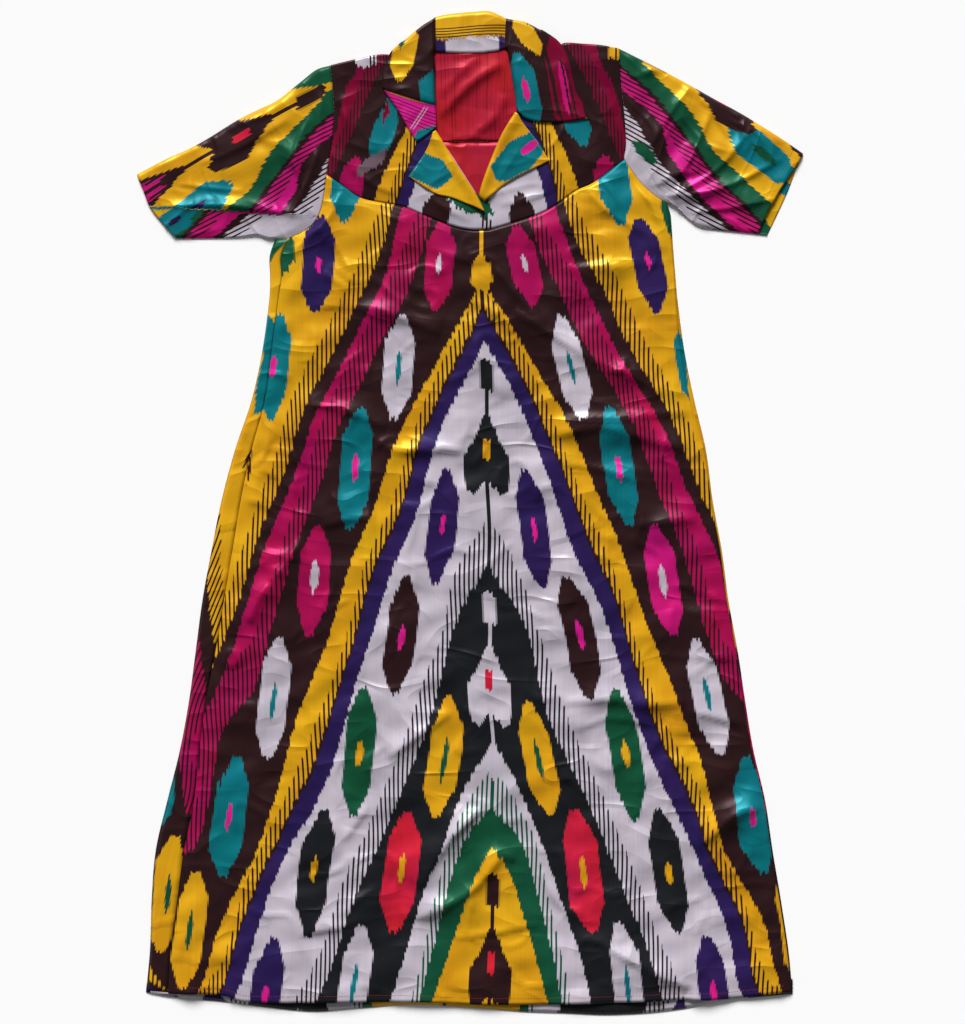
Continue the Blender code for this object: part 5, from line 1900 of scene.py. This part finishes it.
@dataclass
class Sleeves(Panels):
    """The two sleeves, each a tube laid flat, open at the cuff and the armhole."""

    columns: int = 96
    rows: int = 70
    hem_columns: int = 6
    rest: float = 0.5 * (PLY + CLOTH)
    edge_width: float = 0.006
    swell: float = 0.0011
    crumple: float = 0.0013

    def place(self, arm: Arm, plan: np.ndarray) -> np.ndarray:
        """Works out where a ply of the sleeve lies on the dyed cloth.

        Args:
            arm: the sleeve.
            plan: the ply's points.

        Returns:
            The distance from the pattern's axis and the distance from the shoulder, negated.
        """
        along = np.array(arm.along)
        across = np.array([along[1], -along[0]]) * np.sign(along[0])
        gap = plan - np.array(arm.start)
        u = gap @ across
        if arm.fold_from is not None:
            fold = np.array(arm.fold_to) - np.array(arm.fold_from)
            side = (fold[0] * (plan[..., 1] - arm.fold_from[1])
                    - fold[1] * (plan[..., 0] - arm.fold_from[0]))
            u = u + arm.fold_shift * (side < 0)
        return np.stack([u - arm.middle, -(gap @ along)], axis=2)

    def build(self, arm: Arm, dyed: Material) -> None:
        """Builds one sleeve.

        Args:
            arm: the sleeve.
            dyed: its material.
        """
        hole = smooth(arm.armhole, self.rows)
        upper = patch(smooth(arm.top, self.columns), smooth(arm.under, self.columns), hole,
                      smooth(arm.cuff, self.rows))
        lower = patch(smooth(arm.top, self.columns), smooth(arm.back_under, self.columns), hole,
                      smooth(arm.back_cuff, self.rows))
        lower[0] = upper[0]
        calm = self.layers.calmed(edge_distance(upper, "l"))
        high = PLY + CLOTH + arm.relief.height(upper, calm)
        inward = climb(edge_distance(upper, "tb"), 0.0, self.edge_width)
        high = self.rest + (high - self.rest) * np.sqrt(inward)
        high -= self.layers.dip(upper, "l") * inward
        self.sewn.append(np.dstack([upper, high])[2:-2, -self.hem_columns])
        low = np.zeros(lower.shape[:2])
        low[0] = low[-1] = self.rest
        upper_dyed, lower_dyed = self.place(arm, upper), self.place(arm, lower)
        lower_dyed[..., 0] = 2 * lower_dyed[:1, :, 0] - lower_dyed[..., 0]
        way = -1 if arm.along[0] < 0 else 1
        self.declare(f"sleeve_{arm.name}", [
            Shell(*(part[:, ::way] for part in (upper, high, upper_dyed))),
            Shell(*(part[::-1, ::way] for part in (lower, low, lower_dyed))),
        ], (dyed,), "ikat_silk", arm.flat)

    def both(self, left: Material, right: Material) -> None:
        """Builds both sleeves.

        Args:
            left: the left sleeve's material.
            right: the right sleeve's material.
        """
        cut = self.cut
        self.build(Arm(
            "left", cut.left_armhole, cut.left_cuff, cut.left_cuff, cut.left_sleeve_top,
            cut.left_sleeve_under, cut.left_sleeve_under,
            Relief(cut.left_sleeve_creases, cut.left_sleeve_wrinkles, self.swell, self.crumple,
                   seed=31),
            start=(-0.1668, 0.5382), along=(-0.868, -0.497), middle=0.0216,
            fold_from=(-0.372, 0.367), fold_to=(-0.198, 0.355),
        ), left)
        self.build(Arm(
            "right", cut.right_armhole, cut.right_cuff, cut.right_cuff_back, cut.right_sleeve_top,
            cut.right_sleeve_under, cut.right_under_back,
            Relief(cut.right_sleeve_creases, cut.right_sleeve_wrinkles, self.swell, self.crumple,
                   seed=37),
            start=(0.180, 0.5562), along=(0.867, -0.498), middle=-0.0096,
        ), right)


# Sewing


@dataclass
class Stitching:
    """The rows of stitches that show: the hem, the collar's edge, the lapels and the cuffs."""

    length: float = 0.0022
    pitch: float = 0.0034
    thick: float = 0.00045
    rise: float = 0.3
    grain: float = 900.0
    dark: float = 0.6
    roughness: float = 0.55

    def thread(self, name: str, dye: Dye) -> Material:
        """Makes the thread's material.

        Args:
            name: the material's name.
            dye: the thread's colour.

        Returns:
            The material.
        """
        made, bench = blank(name)
        shader, noise = bench.add("BsdfPrincipled"), bench.add("TexNoise")
        bench.feed(bench.add("OutputMaterial").inputs[0], shader.outputs[0])
        bench.feed(noise.inputs["Vector"], bench.add("TexCoord").outputs["Object"])
        noise.inputs["Scale"].default_value = self.grain
        dark = tuple(self.dark * part for part in dye.value)
        bench.feed(shader.inputs["Base Color"], bench.blend(noise.outputs[0], (*dark, 1.0), dye))
        shader.inputs["Roughness"].default_value = self.roughness
        return made

    def sew(self, name: str, lines: Sequence[np.ndarray], dye: Dye) -> None:
        """Sews rows of running stitches as one piece.

        Args:
            name: the piece's name.
            lines: each row's points on the cloth.
            dye: the thread's colour.
        """
        whole = bmesh.new()
        for line in lines:
            reach = np.linalg.norm(np.diff(line, axis=0), axis=1).sum()
            points = even(line, max(2, int(reach / self.pitch)))
            row, data = bmesh.new(), bpy.data.meshes.new("row")
            for a, b in zip(points, points[1:]):
                along = (b - a) / np.linalg.norm(b - a)
                across = np.array([-along[1], along[0], 0.0]) / math.hypot(along[0], along[1])
                up = np.cross(along, across)
                place = np.eye(4)
                place[:3, :3] = np.stack(
                    [along * self.length, across * self.thick, up * self.thick], axis=1)
                place[:3, 3] = (a + b) / 2 + up * self.rise * self.thick
                bmesh.ops.create_uvsphere(row, u_segments=6, v_segments=4, radius=0.5,
                                          matrix=Matrix(place.tolist()))
            row.to_mesh(data)
            row.free()
            whole.from_mesh(data)
            bpy.data.meshes.remove(data)
        obj = placed(name, whole, self.thread(name, dye))
        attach(obj, "root")
        LOG.info("%s: %d faces", name, len(obj.data.polygons))


@dataclass
class Studio:
    """The pale floor, the soft light and the camera straight above."""

    camera_height: float = 3.0
    picture_height: float = 1.2288
    centre: tuple[float, float] = (0.015, 0.0012)
    sensor: float = 36.0
    floor_size: float = 12.0
    floor_tone: float = 0.94
    floor_roughness: float = 0.9
    floor_gloss: float = 0.1
    sky: float = 0.16
    key_strength: float = 5.1
    key_angle: float = math.radians(26)
    key_tilt: float = math.radians(58)
    key_turn: float = math.radians(12)

    def floor(self) -> None:
        """Lays the floor."""
        mesh = bmesh.new()
        bmesh.ops.create_grid(mesh, x_segments=1, y_segments=1, size=self.floor_size / 2)
        made = bpy.data.materials.new("floor")
        made.use_nodes = True
        shader = made.node_tree.nodes["Principled BSDF"]
        shader.inputs["Base Color"].default_value = (*[self.floor_tone] * 3, 1.0)
        shader.inputs["Roughness"].default_value = self.floor_roughness
        shader.inputs["Specular IOR Level"].default_value = self.floor_gloss
        placed("floor", mesh, made)

    def key(self) -> None:
        """Sets the soft key light, which comes from past the collar and a little from the left."""
        data = bpy.data.lights.new("key light", "SUN")
        data.energy = self.key_strength
        data.angle = self.key_angle
        obj = bpy.data.objects.new("key light", data)
        obj.location = (0.0, 0.0, self.camera_height)
        obj.rotation_euler = (-self.key_tilt, 0.0, self.key_turn)
        bpy.context.scene.collection.objects.link(obj)

    def build(self) -> None:
        """Sets the floor, the light, the sky and the camera."""
        self.floor()
        self.key()
        scene = bpy.context.scene
        world = bpy.data.worlds.new("sky")
        world.use_nodes = True
        colour, strength = world.node_tree.nodes["Background"].inputs[:2]
        colour.default_value, strength.default_value = (1.0, 1.0, 1.0, 1.0), self.sky
        scene.world = world
        scene.view_settings.view_transform = "Standard"
        data = bpy.data.cameras.new("camera")
        data.sensor_width = self.sensor
        data.lens = self.sensor * self.camera_height / self.picture_height
        camera = bpy.data.objects.new("camera", data)
        camera.location = (*self.centre, self.camera_height)
        scene.collection.objects.link(camera)
        scene.camera = camera


def main() -> None:
    """Builds the dress and its studio, and reports each piece."""
    logging.basicConfig(level=logging.INFO, format="%(name)s %(message)s")
    skirt, yoke = SKIRT.material(), YOKE.material()
    back = Back()
    back.yoke(WRONG_SIDE.material(), yoke)
    back.skirt(skirt, SKIRT_WRONG_SIDE.material())
    front = Front()
    front.skirt(skirt)
    front.yoke(yoke)
    front.lapels(LAPEL.material())
    collar = Collar()
    collar.build(NECK.material())
    sleeves = Sleeves()
    sleeves.both(SLEEVE_LEFT.material(), SLEEVE.material())
    stitching = Stitching()
    stitching.sew("hem_stitches", front.hem, Dye.RED)
    stitching.sew("lapel_stitches", front.sewn, Dye.GOLD)
    stitching.sew("collar_stitches", collar.sewn, Dye.CRIMSON)
    stitching.sew("cuff_stitches", sleeves.sewn, Dye.CRIMSON)
    Studio().build()


if __name__ == "__main__":
    main()
